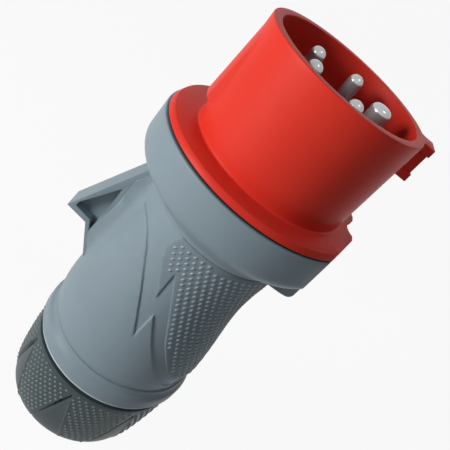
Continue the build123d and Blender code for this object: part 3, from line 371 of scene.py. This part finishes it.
# the key, with two full caps and a narrower middle, flared into the sleeve
KEY_OUT_X = SLEEVE_R + 4.0
KEY_ROOT_X = SLEEVE_R - 1.3
KEY_TOP_Z = MOUTH_Z - 0.06
KEY_BOTTOM_Z = MOUTH_Z - 12.7
KEY_CAP = 2.8
KEY_CAP_HALF = 3.6
KEY_MIDDLE_HALF = 3.05
KEY_MIDDLE_DROP = 0.5
KEY_OVERLAP = 0.3
KEY_FLARE = 1.3
KEY_FLARE_X = SLEEVE_R + 0.75
KEY_FLARE_FROM = 212
KEY_EDGE_ROUND = 0.22
for low, high, half, reach in (
    (KEY_BOTTOM_Z, KEY_BOTTOM_Z + KEY_CAP, KEY_CAP_HALF, KEY_OUT_X),
    (KEY_BOTTOM_Z + KEY_CAP - KEY_OVERLAP, MOUTH_Z - KEY_CAP + KEY_OVERLAP, KEY_MIDDLE_HALF,
     KEY_OUT_X - KEY_MIDDLE_DROP),
    (MOUTH_Z - KEY_CAP, KEY_TOP_Z, KEY_CAP_HALF, KEY_OUT_X),
):
    flare = arc((KEY_FLARE_X, half + KEY_FLARE), KEY_FLARE, KEY_FLARE_FROM, 270, 4)
    upper = [(KEY_ROOT_X, half + KEY_FLARE + 0.1)] + flare + [(reach, half)]
    key = prism(upper + [(x, -y) for x, y in reversed(upper)], "Z", low, high)
    edges = [edge for edge in sharp_edges(key) if min(end.co.x for end in edge.verts) > SLEEVE_R + 0.2]
    rounded(key, edges, KEY_EDGE_ROUND)
    join(shroud, key)
place_piece("shroud_moulding", shroud, "plug_body", "red_thermoplastic", red_polyamide, "shroud")

# The housing, one blue-grey moulding of polyamide: the collar that takes the shroud, the
# waisted body with its sunk channel, the fin, the block for the lock slide, and the end
# ring with the threaded spigot below it.
SEAL_T = 0.7
COLLAR_TOP_Z = FLANGE_UNDER_Z - SEAL_T
COLLAR_R = 37.4
COLLAR_ROUND = 0.5
COLLAR_LOW_Z = COLLAR_TOP_Z - 10.0
COLLAR_SEAT_R = 30.5
COLLAR_SEAT_Z = COLLAR_TOP_Z - 6.0
COLLAR_BORE_R = 32.0
HEEL_BREAK = (COLLAR_R - 3.8, COLLAR_LOW_Z - 5.6)
CREASE = (27.0, COLLAR_LOW_Z - 10.8)
WAIST_TOP = (25.6, CREASE[1] - 3.0)
WAIST = (25.6, CREASE[1] - 9.0)
BELLY = (29.7, 54.0)
BODY_END = (28.2, 42.7)
RING_R = 29.7
RING_LOW_Z = 33.7
RING_ROUND = 1.1
RING_SHOULDER = (RING_R - 0.75, 40.3)
SPIGOT_R = 24.2
SPIGOT_BORE_R = SPIGOT_R - 5.0
SPIGOT_LOW_Z = 12.0
BODY_WALL = 3.0
CABLE_HOLE_R = 13.5
SHELF_Z = (28.0, 31.0)


def swept(start, end, leave, arrive, steps):
    """A smooth curve between two points with a direction at each end."""
    start, end = Vector(start), Vector(end)
    third = (end - start).length / 3
    first = start + Vector(leave).normalized() * third
    last = end - Vector(arrive).normalized() * third
    return [tuple(point) for point in interpolate_bezier(start, first, last, end, steps + 1)]


body_outline = (
    swept(BODY_END, BELLY, (0.35, 1), (0, 1), 8)
    + swept(BELLY, WAIST, (0, 1), (0, 1), 26)[1:]
    + run(WAIST, WAIST_TOP, 1.5)
    + swept(WAIST_TOP, CREASE, (0, 1), (1, 0.8), 5)
)
collar_heel = (
    swept(CREASE, HEEL_BREAK, (1, 0.85), (1, 0.66), 8)[1:]
    + swept(HEEL_BREAK, (COLLAR_R, COLLAR_LOW_Z), (1, 0.66), (0, 1), 9)[1:]
)
housing_outline = (
    [(SPIGOT_BORE_R, SPIGOT_LOW_Z), (SPIGOT_R, SPIGOT_LOW_Z), (SPIGOT_R, RING_LOW_Z)]
    + [(27.0, RING_LOW_Z)]
    + arc((RING_R - RING_ROUND, RING_LOW_Z + RING_ROUND), RING_ROUND, -90, 0, 5)
    + [(RING_R, 35.8), (RING_R, 37.2)]
    + swept((RING_R, 38.8), RING_SHOULDER, (0, 1), (-0.9, 1), 4)
    + swept(RING_SHOULDER, (BODY_END[0] + 0.05, BODY_END[1] - 0.1), (-0.9, 1), (0.1, 1), 5)[1:]
    + body_outline
    + collar_heel
    + run(collar_heel[-1], (COLLAR_R, COLLAR_TOP_Z - COLLAR_ROUND), 2.0)
    + arc((COLLAR_R - COLLAR_ROUND, COLLAR_TOP_Z - COLLAR_ROUND), COLLAR_ROUND, 0, 90, 4)
    + [(COLLAR_SEAT_R, COLLAR_TOP_Z), (COLLAR_SEAT_R, COLLAR_SEAT_Z), (COLLAR_BORE_R, COLLAR_SEAT_Z)]
    + [(COLLAR_BORE_R, COLLAR_LOW_Z - 2.0), (CREASE[0] - BODY_WALL, CREASE[1])]
    + [(radius - BODY_WALL, height) for radius, height in reversed(body_outline[::4])]
    + [(21.0, SHELF_Z[1]), (CABLE_HOLE_R, SHELF_Z[1]), (CABLE_HOLE_R, SHELF_Z[0])]
    + [(SPIGOT_BORE_R, SHELF_Z[0])]
)


def skin_radius(height):
    """Radius of the body's skin at a height."""
    for (low_r, low_z), (high_r, high_z) in zip(body_outline, body_outline[1:]):
        if height <= high_z:
            return low_r + (high_r - low_r) * max(0.0, height - low_z) / (high_z - low_z)
    return body_outline[-1][0]


# how much less the body's radius is at 6 o'clock than at 12 o'clock, by height
BODY_LEAN = (
    (42.7, 0.8), (46.0, 1.05), (50.0, 1.5), (54.0, 1.9), (60.0, 2.4), (66.0, 2.7), (72.0, 2.9),
    (78.0, 2.8), (84.0, 2.4), (90.0, 1.65), (97.0, 0.7), (103.0, 0.1), (106.0, 0.0),
)


def hollowed(radius, turn, height):
    """Radius of the round body in one direction, which falls off from 12 o'clock towards 6 o'clock."""
    for (low_z, low), (high_z, high) in zip(BODY_LEAN, BODY_LEAN[1:]):
        if low_z <= height <= high_z:
            shift = (low + (high - low) * (height - low_z) / (high_z - low_z)) / 2
            reach = math.sqrt((radius - shift) ** 2 - (shift * math.sin(turn)) ** 2)
            return reach - shift * math.cos(turn)
    return radius


def hollow(shape):
    """Hollows the wall of a piece of the body towards 6 o'clock."""
    WALL_FROM_R = 20.2
    for point in shape.verts:
        length = point.co.xy.length
        if length > WALL_FROM_R:
            turn = math.atan2(point.co.y, point.co.x)
            point.co.xy *= hollowed(length, turn, point.co.z) / length


def on_skin(point):
    """True for a point of the body's outer skin between the ring and the collar."""
    return BODY_END[1] - 0.1 < point.z < CREASE[1] + 0.2 and point.xy.length > skin_radius(point.z) - 1.0


def depth_inside(point, border):
    """How far a point lies inside a border drawn on the side view, negative outside it."""
    spot = Vector((point.x, point.z))
    nearest = 1e9
    inside = False
    for start, end in zip(border, border[1:] + border[:1]):
        along = Vector(end) - Vector(start)
        share = min(1.0, max(0.0, (spot - Vector(start)).dot(along) / along.length_squared))
        nearest = min(nearest, (spot - Vector(start) - along * share).length)
        if (start[1] > spot.y) != (end[1] > spot.y):
            if spot.x < start[0] + along.x * (spot.y - start[1]) / along.y:
                inside = not inside
    return nearest if inside else -nearest


def score(shape, border, depths):
    """Cuts lines into the skin along a border drawn on the side view, each at a depth inside it."""
    REACH = 2.5
    turning = sum(a[0] * b[1] - b[0] * a[1] for a, b in zip(border, border[1:] + border[:1]))
    for start, end in zip(border, border[1:] + border[:1]):
        if min(start[0], end[0]) > BELLY[0]:
            continue
        along = Vector(end) - Vector(start)
        inward = Vector((-along.y, along.x)).normalized() * (1 if turning > 0 else -1)
        near = []
        for face in shape.faces:
            middle = face.calc_center_median()
            offset = Vector((middle.x, middle.z)) - Vector(start)
            share = offset.dot(along.normalized())
            beside = abs(offset.dot(inward)) < REACH and -REACH < share < along.length + REACH
            if beside and on_skin(middle):
                near.append(face)
        geometry = with_edges(near)
        for depth in depths:
            foot = Vector(start) + inward * depth
            cut = bmesh.ops.bisect_plane(shape, geom=geometry, dist=0.02, plane_co=(foot.x, 0, foot.y),
                                         plane_no=(inward.x, 0, inward.y))
            geometry = [item for item in cut["geom"] if item.is_valid]


def rises(border):
    """A border given in (x, height above the crease), in the plug's own heights."""
    return [(x, CREASE[1] + rise) for x, rise in border]


BEYOND = 60.0
grip_border = rises([
    (-10.1, -2.6), (-11.2, -5.2), (-11.9, -9.0), (-10.6, -13.5), (-4.3, -25.2), (-4.4, -14.8),
    (2.7, -27.3), (8.9, -38.6), (17.1, -50.2), (22.5, -56.0), (27.0, -58.0), (BEYOND, -58.0),
    (BEYOND, -2.6),
])
channel_border = rises([
    (-26.5, -2.3), (-24.5, -10.0), (-21.5, -10.4), (-19.1, -12.0), (-16.0, -15.9), (-9.6, -26.5),
    (-1.7, -41.2), (-1.0, -31.1), (5.1, -40.9), (13.7, -52.0), (19.6, -58.4), (24.5, -61.4),
    (BEYOND, -61.4), (BEYOND, -2.3),
])
CHANNEL_DEPTH = 0.6
CHANNEL_EDGE = (-0.12, 0.42)
CHANNEL_EDGE_W = CHANNEL_EDGE[1] - CHANNEL_EDGE[0]
GRIP_DEPTH = 1.5
FIN_HALF_T = 5.0
FIN_OUT = [(-28.5, -0.5), (-43.2, -30.3), (-35.2, -32.0), (-29.3, -44.0)]
FIN_POCKET = [(-32.0, -12.9), (-40.6, -26.8), (-40.8, -28.6), (-34.6, -30.0), (-31.9, -35.9)]
FIN_FLARE = 5.0
FIN_FLARE_SHARE = 0.85
FIN_FLARE_UNDER = 0.3

# blue-grey polyamide: satin like the shroud, with long soft shades round the body
blue_grey_polyamide = moulded("blue_grey_polyamide", "#87969D", "#808F97", roughness=0.46, grain_mm=0.3,
                              grain_depth=0.04)

housing = turned(housing_outline)
score(housing, channel_border, (CHANNEL_EDGE[0], 0.0, 0.3, CHANNEL_EDGE[1]))
score(housing, grip_border, (0.0, 0.1))


def fin_reach(height):
    """How far the fin stands out from the skin at a height."""
    outer = rises(FIN_OUT)
    for (high_x, high_z), (low_x, low_z) in zip(outer, outer[1:]):
        if low_z <= height <= high_z:
            return -(low_x + (high_x - low_x) * (height - low_z) / (high_z - low_z)) - skin_radius(height)
    return 0.0


for point in housing.verts:
    if not on_skin(point.co):
        continue
    sink = CHANNEL_DEPTH * ease((depth_inside(point.co, channel_border) - CHANNEL_EDGE[0]) / CHANNEL_EDGE_W)
    if depth_inside(point.co, grip_border) > 0.05:
        sink = GRIP_DEPTH
    swell = 0.0
    if point.co.x < 0 and abs(point.co.y) < FIN_HALF_T + FIN_FLARE:
        flare = min(FIN_FLARE, FIN_FLARE_SHARE * fin_reach(point.co.z))
        gap = flare - max(0.0, abs(point.co.y) - FIN_HALF_T + FIN_FLARE_UNDER)
        if flare > 0 and gap > 0:
            swell = flare - math.sqrt(max(0.0, flare * flare - gap * gap))
    length = point.co.xy.length
    point.co.xy *= (length - sink + swell) / length
hollow(housing)

# the flat and the facets of the collar at 6 o'clock, with rounded edges
FLAT_ROUND = 0.35
for side in flat_sides:
    slice_off(housing, (FLAT_X, math.copysign(FLAT_HALF, side.y), COLLAR_TOP_Z), side)
flat_edges = []
for edge in sharp_edges(housing, math.radians(25)):
    for side in flat_sides:
        reach = side.dot(Vector((FLAT_X, math.copysign(FLAT_HALF, side.y), 0)))
        if all(abs(point.co.dot(side) - reach) < 0.01 for point in edge.verts) and edge not in flat_edges:
            flat_edges.append(edge)
rounded(housing, flat_edges, FLAT_ROUND)

# the block behind the flat, with the window that the lock slide runs in
BLOCK_HALF = 8.0
BLOCK_LOW_Z = COLLAR_TOP_Z - 28.4
BLOCK_ROUND = 2.5
BLOCK_EDGE_ROUND = 0.6
BLOCK_ROOT_X = WAIST[0] - BODY_WALL + 0.6
block_side = (
    [(BLOCK_ROOT_X, COLLAR_SEAT_Z), (BLOCK_ROOT_X, BLOCK_LOW_Z)]
    + arc((FLAT_X - BLOCK_ROUND, BLOCK_LOW_Z + BLOCK_ROUND), BLOCK_ROUND, -90, 0, 6)
    + [(FLAT_X + 0.01, COLLAR_SEAT_Z)]
)
block = prism(block_side, "Y", -BLOCK_HALF, BLOCK_HALF)
long_edges = [edge for edge in sharp_edges(block) if min(end.co.x for end in edge.verts) > SPIGOT_R]
rounded(block, long_edges, BLOCK_EDGE_ROUND)
slide_low, slide_high = (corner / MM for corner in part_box("lock_slide"))
SLIDE_TRAVEL = 4.0
SLIDE_HALF = 4.1
WINDOW_PLAY = 0.1
WINDOW_HALF = SLIDE_HALF + WINDOW_PLAY
WINDOW_FLOOR_X = 31.55


def window_faces(shape):
    """Cuts the outline of the slide's window into a flat and gives the faces inside it."""
    flat = [face for face in shape.faces
            if abs(face.calc_center_median().x - FLAT_X) < 0.05 and abs(face.normal.x) > 0.99]
    for spot, normal in (
        ((0, WINDOW_HALF, 0), (0, 1, 0)),
        ((0, -WINDOW_HALF, 0), (0, 1, 0)),
        ((0, 0, slide_low.z - SLIDE_TRAVEL - WINDOW_PLAY), (0, 0, 1)),
        ((0, 0, slide_high.z + WINDOW_PLAY), (0, 0, 1)),
    ):
        cut = bmesh.ops.bisect_plane(shape, geom=with_edges(flat), dist=0.001, plane_co=spot,
                                     plane_no=normal)
        flat = [item for item in cut["geom"] if isinstance(item, bmesh.types.BMFace)]
    return [face for face in flat if abs(face.calc_center_median().y) < WINDOW_HALF
            and slide_low.z - SLIDE_TRAVEL < face.calc_center_median().z < slide_high.z]


bmesh.ops.delete(housing, geom=window_faces(housing), context="FACES")
window = window_faces(block)
sunk = bmesh.ops.extrude_face_region(block, geom=window)
bmesh.ops.delete(block, geom=window, context="FACES_ONLY")
for item in sunk["geom"]:
    if isinstance(item, bmesh.types.BMVert):
        item.co.x = WINDOW_FLOOR_X

# the fin, a plate with a rim round a pocket in each side
FIN_WEB_HALF = 1.5
FIN_ROUND = 0.45


def fin_half():
    """One half of the fin, from its middle plane to its near side."""
    foot_z = rises(FIN_OUT)[-1][1]
    outer = [(-WAIST_TOP[0] + 1.2, CREASE[1] - 0.6)] + rises(FIN_OUT)
    outer.append((-skin_radius(foot_z) + 1.6, foot_z))
    half = bmesh.new()
    rim = [half.verts.new((x, -FIN_HALF_T, z)) for x, z in outer]
    lip = [half.verts.new((x, -FIN_HALF_T, z)) for x, z in rises(FIN_POCKET)]
    rim_edges = [half.edges.new(pair) for pair in zip(rim, rim[1:] + rim[:1])]
    lip_edges = [half.edges.new(pair) for pair in zip(lip, lip[1:] + lip[:1])]
    bmesh.ops.bridge_loops(half, edges=rim_edges + lip_edges)
    for edges, depth in ((lip_edges, -FIN_WEB_HALF), (rim_edges, 0.0)):
        pushed = bmesh.ops.extrude_edge_only(half, edges=edges)
        moved = [item for item in pushed["geom"] if isinstance(item, bmesh.types.BMVert)]
        bmesh.ops.translate(half, verts=moved, vec=(0, depth + FIN_HALF_T, 0))
        if depth:
            bmesh.ops.contextual_create(half, geom=moved)
    return half


fin = fin_half()
bmesh.ops.mirror(fin, geom=fin.verts[:] + fin.edges[:] + fin.faces[:], axis="Y", merge_dist=0.001)
bmesh.ops.remove_doubles(fin, verts=fin.verts, dist=0.001)
bmesh.ops.recalc_face_normals(fin, faces=fin.faces)
rounded(fin, sharp_edges(fin, math.radians(25)), FIN_ROUND)
join(housing, block, fin)
place_piece("housing_moulding", housing, "plug_body", "blue_grey_thermoplastic", blue_grey_polyamide,
            "housing")

# The grip, a soft elastomer moulded over the 6 o'clock side of the body, flush with the
# smooth panel, with slanting rows of small pips for the hand.
GRIP_EDGE = 0.5
GRIP_DROP = 0.35
PIP_SIDES = (8, 5)
PIP_LENGTH = 1.7
PIP_WIDTH = 1.05
PIP_HEIGHT = 0.45
PIP_ALONG = (1.8, 2.0)
PIP_ACROSS = (0.9, -1.8)
PIP_MARGIN = 1.5
PIP_SEAT = 0.05
PIP_START_Z = 75.0
PIP_ROWS = 60
BLOCK_MARGIN = 1.3

# grip elastomer: duller and a shade darker than the housing, so that the grip reads as soft
blue_grey_elastomer = moulded("blue_grey_elastomer", "#7D8B92", "#75838A", roughness=0.55, grain_mm=0.3,
                              grain_depth=0.05)
# the pips are a glossier elastomer, painted a shade lighter than the grip as a painted highlight, with a
# small glint from the gloss
pip_painted_highlight_elastomer = moulded("pip_painted_highlight_elastomer", "#86939A", "#7F8C93", roughness=0.36, grain_mm=0.4,
                             grain_depth=0.02, gloss_level=0.5)


def pip_mesh():
    """A round pip, a ball of radius 1 that is sunk halfway into the skin."""
    ball = bmesh.new()
    bmesh.ops.create_uvsphere(ball, u_segments=PIP_SIDES[0], v_segments=PIP_SIDES[1], radius=1.0)
    for face in ball.faces:
        # the pips' faces take the second material slot, which holds their painted highlight
        face.material_index = 1
    mesh = bpy.data.meshes.new("pip")
    ball.to_mesh(mesh)
    ball.free()
    return mesh


def add_pips(shape, places, lean, size):
    """Rows of rounded pips on a round side: size is a pip's length, width and height."""
    pip = pip_mesh()
    for turn, height, radius in places:
        out = Vector((math.cos(turn), math.sin(turn), 0))
        around = Vector((-math.sin(turn), math.cos(turn), 0))
        up = Vector((0, 0, 1))
        along = (around * lean[0] + up * lean[1]).normalized()
        sides = Matrix((along * size[0] / 2, out.cross(along) * size[1] / 2, out * size[2]))
        stand = Matrix.Translation(out * radius + up * height) @ sides.transposed().to_4x4()
        pip.transform(stand)
        shape.from_mesh(pip)
        pip.transform(stand.inverted())
    bpy.data.meshes.remove(pip)


grip = turned(body_outline, closed=False)
score(grip, grip_border, (0.0, GRIP_EDGE / 2, GRIP_EDGE))
outside = [
    face for face in grip.faces
    if depth_inside(face.calc_center_median(), grip_border) < 0
]
bmesh.ops.delete(grip, geom=outside, context="FACES")
for point in grip.verts:
    drop = GRIP_DROP * (1 - ease(depth_inside(point.co, grip_border) / GRIP_EDGE)) ** 2
    point.co.xy *= (point.co.xy.length - drop) / point.co.xy.length
skin = grip.faces[:]
bmesh.ops.solidify(grip, geom=skin, thickness=-GRIP_DEPTH)
bmesh.ops.recalc_face_normals(grip, faces=grip.faces)
hollow(grip)

PIP_RADIUS = 27.6
pip_places = []
for row in range(-PIP_ROWS, PIP_ROWS + 1):
    for place in range(-PIP_ROWS, PIP_ROWS + 1):
        around = row * PIP_ACROSS[0] + place * PIP_ALONG[0]
        height = PIP_START_Z + row * PIP_ACROSS[1] + place * PIP_ALONG[1]
        turn = around / PIP_RADIUS
        if abs(turn) > math.pi or not BODY_END[1] < height < CREASE[1]:
            continue
        radius = skin_radius(height)
        spot = Vector((radius * math.cos(turn), radius * math.sin(turn), height))
        beside_block = abs(spot.y) < BLOCK_HALF + BLOCK_MARGIN and spot.x > 0
        in_block = beside_block and height > BLOCK_LOW_Z - BLOCK_MARGIN
        if depth_inside(spot, grip_border) > PIP_MARGIN and not in_block:
            pip_places.append((turn, height, hollowed(radius, turn, height) - PIP_SEAT))
add_pips(grip, pip_places, PIP_ALONG, (PIP_LENGTH, PIP_WIDTH, PIP_HEIGHT))
soft_grip = place_piece("grip_moulding", grip, "plug_body", "blue_grey_elastomer", blue_grey_elastomer,
                        "grip")
# second material: the pips, painted lighter than the grip as a painted highlight
soft_grip.data.materials.append(pip_painted_highlight_elastomer)

# The gland nut, a dark moulding of polyamide that screws on the spigot. Its side has fine
# pips for the fingers, parted by seven smooth wedges with a sharp groove along one side.
NUT_TOP_Z = 32.0
NUT_BORE_R = SPIGOT_R + 0.1
NUT_ENTRY_R = 14.5
NUT_LAND_R = 26.6
NUT_STEP_Z = NUT_TOP_Z - 1.1
WEDGE_COUNT = 7
WEDGE_FIRST = -97.5
WEDGE_APEX_Z = 28.5
WEDGE_BASE_Z = 2.0
WEDGE_HALF = 15.0
WEDGE_GROOVE = 1.35
WEDGE_GROOVE_WIDE = 1.15
WEDGE_SINK = 0.45
WEDGE_WALL = 0.3
WEDGE_RIDGE = 0.3
WEDGE_RIDGE_HALF = 0.5
WEDGE_RIDGE_LINES = (-0.3, 0.0, 0.35)
# shares of a wedge's length in which it sinks in from its apex, and in which its ridge rises
WEDGE_SINK_IN = 0.08
WEDGE_RIDGE_IN = 0.25
# share of its depth that a wedge has lost at its base
WEDGE_SHALLOWS = 0.8

nut_side = (
    swept((28.7, NUT_TOP_Z - 1.4), (28.0, 18.0), (-0.03, -1), (-0.09, -1), 9)
    + swept((28.0, 18.0), (25.6, 3.2), (-0.09, -1), (-0.35, -1), 9)[1:]
    + swept((25.6, 3.2), (22.6, 0.0), (-0.45, -1), (-1, -0.1), 6)[1:]
)
nut_outline = (
    [(NUT_BORE_R, NUT_TOP_Z), (NUT_LAND_R, NUT_TOP_Z), (NUT_LAND_R, NUT_STEP_Z), (28.3, NUT_STEP_Z)]
    + [(28.6, NUT_STEP_Z - 0.1)]
    + nut_side
    + [(NUT_ENTRY_R + 0.4, 0.0), (NUT_ENTRY_R, 0.4), (NUT_ENTRY_R, 3.0), (17.0, 3.5), (23.8, 9.9)]
    + [(NUT_BORE_R, 10.4)]
)


def nut_radius(height):
    """Radius of the nut's side at a height."""
    for (high_r, high_z), (low_r, low_z) in zip(nut_side, nut_side[1:]):
        if height >= low_z:
            return low_r + (high_r - low_r) * min(1.0, (height - low_z) / (high_z - low_z))
    return nut_side[-1][0]


def nut_point(turn, height):
    """A point on the nut's side, its turn in degrees."""
    turn = math.radians(turn)
    radius = nut_radius(height)
    return Vector((radius * math.cos(turn), radius * math.sin(turn), height))


def wedge_place(point, middle):
    """Distances of a point on the nut's side inside a wedge's left and right edges."""
    aside = (math.degrees(math.atan2(point.y, point.x)) - middle + 180) % 360 - 180
    half = WEDGE_HALF * (WEDGE_APEX_Z - point.z) / (WEDGE_APEX_Z - WEDGE_BASE_Z)
    to_mm = math.radians(1) * point.xy.length
    return (aside + half) * to_mm, (half - aside) * to_mm


# dark polyamide: a green-grey satin that stays dark beside the housing
dark_polyamide = moulded("dark_grey_polyamide", "#404C4E", "#394446", roughness=0.42, grain_mm=0.3,
                         grain_depth=0.05, gloss_level=0.25)
# the nut's pips are glossier as well, and painted lighter than the nut as a painted highlight, so that they
# read as light dots on the dark side
nut_pip_painted_highlight_polyamide = moulded("nut_pip_painted_highlight_dark_polyamide", "#5C696B", "#556264", roughness=0.36,
                             grain_mm=0.4, grain_depth=0.02, gloss_level=0.5)
nut = turned(nut_outline)
wedge_middles = [WEDGE_FIRST + number * 360 / WEDGE_COUNT for number in range(WEDGE_COUNT)]
for middle in wedge_middles:
    apex = nut_point(middle, WEDGE_APEX_Z)
    out = Vector((math.cos(math.radians(middle)), math.sin(math.radians(middle)), 0))
    for low, depths in (
        (nut_point(middle - WEDGE_HALF, WEDGE_BASE_Z), (0.0, WEDGE_WALL, WEDGE_GROOVE_WIDE)),
        (nut_point(middle + WEDGE_HALF, WEDGE_BASE_Z), WEDGE_RIDGE_LINES),
    ):
        inward = (low - apex).cross(out).normalized()
        inward *= 1 if inward.dot(nut_point(middle, WEDGE_BASE_Z) - apex) > 0 else -1
        near = []
        for face in nut.faces:
            spot = face.calc_center_median()
            aside = abs((math.degrees(math.atan2(spot.y, spot.x)) - middle + 180) % 360 - 180)
            outside = spot.xy.length > nut_radius(spot.z) - 1 and (face.normal.dot(spot) > 0 or spot.z < 1)
            if outside and aside < WEDGE_HALF + 4 and spot.z < NUT_TOP_Z - 2:
                near.append(face)
        geometry = with_edges(near)
        for depth in depths:
            cut = bmesh.ops.bisect_plane(nut, geom=geometry, dist=0.01, plane_co=apex + inward * depth,
                                         plane_no=inward)
            geometry = [item for item in cut["geom"] if item.is_valid]
    for point in nut.verts:
        if point.co.xy.length < nut_radius(point.co.z) - 0.3 or point.co.z > NUT_TOP_Z - 2:
            continue
        in_left, in_right = wedge_place(point.co, middle)
        if in_left < -0.5 or in_right < -0.5:
            continue
        length = point.co.xy.length
        down = (WEDGE_APEX_Z - point.co.z) / (WEDGE_APEX_Z - WEDGE_BASE_Z)
        sink = WEDGE_SINK * max(0.0, in_right) / max(0.1, in_left + in_right)
        in_groove = 1 - (in_left - WEDGE_WALL) / (WEDGE_GROOVE_WIDE - WEDGE_WALL)
        sink += WEDGE_GROOVE * max(0.0, min(1.0, in_groove))
        sink *= ease(down / WEDGE_SINK_IN) * (1 - WEDGE_SHALLOWS * min(1.0, down))
        sink *= ease(in_left / WEDGE_WALL)
        ridge = WEDGE_RIDGE * ease(1 - abs(in_right) / WEDGE_RIDGE_HALF) * ease(down / WEDGE_RIDGE_IN)
        point.co.xy *= (length - sink + ridge) / length

NUT_PIP_SIZE = (1.4, 0.95, 0.42)
NUT_PIP_ALONG = (1.9, 1.3)
NUT_PIP_ACROSS = (1.0, -1.5)
NUT_PIP_START_Z = 16.0
NUT_PIP_BAND = (3.5, NUT_TOP_Z - 2.6)
NUT_PIP_RADIUS = 27.7
NUT_PIP_ROWS = 80
NUT_PIP_MARGIN = 0.9
nut_pip_places = []
for row in range(-NUT_PIP_ROWS, NUT_PIP_ROWS + 1):
    for place in range(-NUT_PIP_ROWS, NUT_PIP_ROWS + 1):
        around = row * NUT_PIP_ACROSS[0] + place * NUT_PIP_ALONG[0]
        height = NUT_PIP_START_Z + row * NUT_PIP_ACROSS[1] + place * NUT_PIP_ALONG[1]
        turn = around / NUT_PIP_RADIUS
        if abs(turn) > math.pi or not NUT_PIP_BAND[0] < height < NUT_PIP_BAND[1]:
            continue
        spot = nut_point(math.degrees(turn), height)
        if all(min(wedge_place(spot, middle)) < -NUT_PIP_MARGIN for middle in wedge_middles):
            nut_pip_places.append((turn, height, nut_radius(height) - PIP_SEAT))
add_pips(nut, nut_pip_places, NUT_PIP_ALONG, NUT_PIP_SIZE)
ribbed_nut = place_piece("gland_nut_moulding", nut, "gland_nut_body", "dark_grey_thermoplastic",
                         dark_polyamide, "gland_nut")
# second material: the nut's pips, painted lighter than the nut as a painted highlight
ribbed_nut.data.materials.append(nut_pip_painted_highlight_polyamide)

# The contact pins, four slim ones and the thick earth pin. They are turned from brass, plated
# with nickel and pressed into the contact carrier through the shroud's floor.


def plated(name, colour, roughness, ring_mm, shine=1.0):
    """Turned metal under a thin bright plating, with fine lathe rings across its axis."""
    material = bpy.data.materials.new(name)
    tree = fresh_tree(material)
    place = add_node(tree, "ShaderNodeTexCoord").outputs["Object"]
    squeeze = add_node(tree, "ShaderNodeMapping", links={"Vector": place}, Scale=(0.05, 0.05, 1.0))
    rings = add_node(tree, "ShaderNodeTexNoise", links={"Vector": squeeze.outputs[0]},
                     Scale=1 / (ring_mm * MM), Detail=2.0)
    haze = add_node(tree, "ShaderNodeTexNoise", links={"Vector": place}, Scale=1 / (2.5 * MM), Detail=3.0)
    gloss = add_node(tree, "ShaderNodeMapRange", links={"Value": haze.outputs["Fac"]},
                     To_Min=roughness - 0.05, To_Max=roughness + 0.07)
    bump = add_node(tree, "ShaderNodeBump", links={"Height": rings.outputs["Fac"]}, Strength=0.25,
                    Distance=0.02 * MM)
    metal = add_node(tree, "ShaderNodeBsdfPrincipled", Base_Color=linear(colour), Metallic=shine,
                     links={"Roughness": gloss.outputs[0], "Normal": bump.outputs[0]})
    add_node(tree, "ShaderNodeOutputMaterial", links={"Surface": metal.outputs[0]})
    return material


def dress(material, *nodes):
    """Gives carried-over CAD nodes their material."""
    for node in nodes:
        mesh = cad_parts[node].data
        mesh.materials.clear()
        mesh.materials.append(material)


# nickel: light grey metal with a small glint on each tip, and faint rings from the lathe
nickel_plate = plated("nickel_plate", "#D0D1D1", roughness=0.24, ring_mm=0.25, shine=0.45)
dress(nickel_plate, "pin_earth", "pin_l1", "pin_l2", "pin_l3", "pin_n")

# The screws and clamp plates. They are steel with a blue-white zinc plating: three screws pull
# the carrier to the shroud's floor, and each terminal has its screw and its plate.
# zinc: a duller and bluer metal than the nickel of the pins
zinc_plate = plated("zinc_plate", "#B9BDC2", roughness=0.34, ring_mm=0.4)
dress(zinc_plate, "carrier_screws", "phase_terminal_screws", "earth_terminal_screw",
      "phase_clamp_plates", "earth_clamp_plate")

# The contact carrier behind the shroud's floor and the clamp cage in the nut. Both are hidden
# mouldings of dark polyamide, left matt, so that they stay dull seen through an opening.
carrier_polyamide = moulded("dark_carrier_polyamide", "#3A3D40", "#33363A", roughness=0.6,
                            grain_mm=0.4, grain_depth=0.06)
dress(carrier_polyamide, "contact_carrier", "clamp_cage")

# The seals, moulded from black rubber: a flat ring lies between flange and collar and shows
# as a dull black line, and a sleeve sits in the clamp cage and is pressed on the cable.
black_rubber = moulded("black_rubber", "#141517", "#0E0F10", roughness=0.72, grain_mm=0.3,
                       grain_depth=0.04)
dress(black_rubber, "flange_seal", "gland_seal")

# The slip ring, a light smooth moulding of polyamide, turned as one ring. It lies loose between
# the body's end ring and the nut, and only its rim shows, as a thin bright line over the nut.
SLIP_RING_R = 28.9
SLIP_RING_ROUND = 0.2
SLIP_RING_LOW_Z = NUT_TOP_Z + 0.05
SLIP_RING_TOP_Z = NUT_TOP_Z + 1.4
# light polyamide: pale and smooth, so that the thin rim catches the light
light_polyamide = moulded("light_polyamide", "#C3CCD0", "#B9C3C8", roughness=0.35, grain_mm=0.4,
                          grain_depth=0.03, gloss_level=0.5)
slip_ring = turned(
    [(NUT_BORE_R, SLIP_RING_LOW_Z), (NUT_LAND_R - 0.2, SLIP_RING_LOW_Z), (NUT_LAND_R, NUT_TOP_Z + 0.5)]
    + [(28.6, NUT_TOP_Z + 0.7)]
    + [(SLIP_RING_R, NUT_TOP_Z + 0.9), (SLIP_RING_R, SLIP_RING_TOP_Z - SLIP_RING_ROUND)]
    + [(SLIP_RING_R - SLIP_RING_ROUND, SLIP_RING_TOP_Z), (NUT_BORE_R, SLIP_RING_TOP_Z)]
)
place_piece("slip_ring_moulding", slip_ring, "gland_travel_ring", "light_thermoplastic", light_polyamide,
            "slip_ring")

# The lock slide in its window at 6 o'clock, a small moulding of the shroud's red polyamide,
# with ribs for the thumb. It snaps in from outside and slides down to let the housing turn.
dress(red_polyamide, "lock_slide")
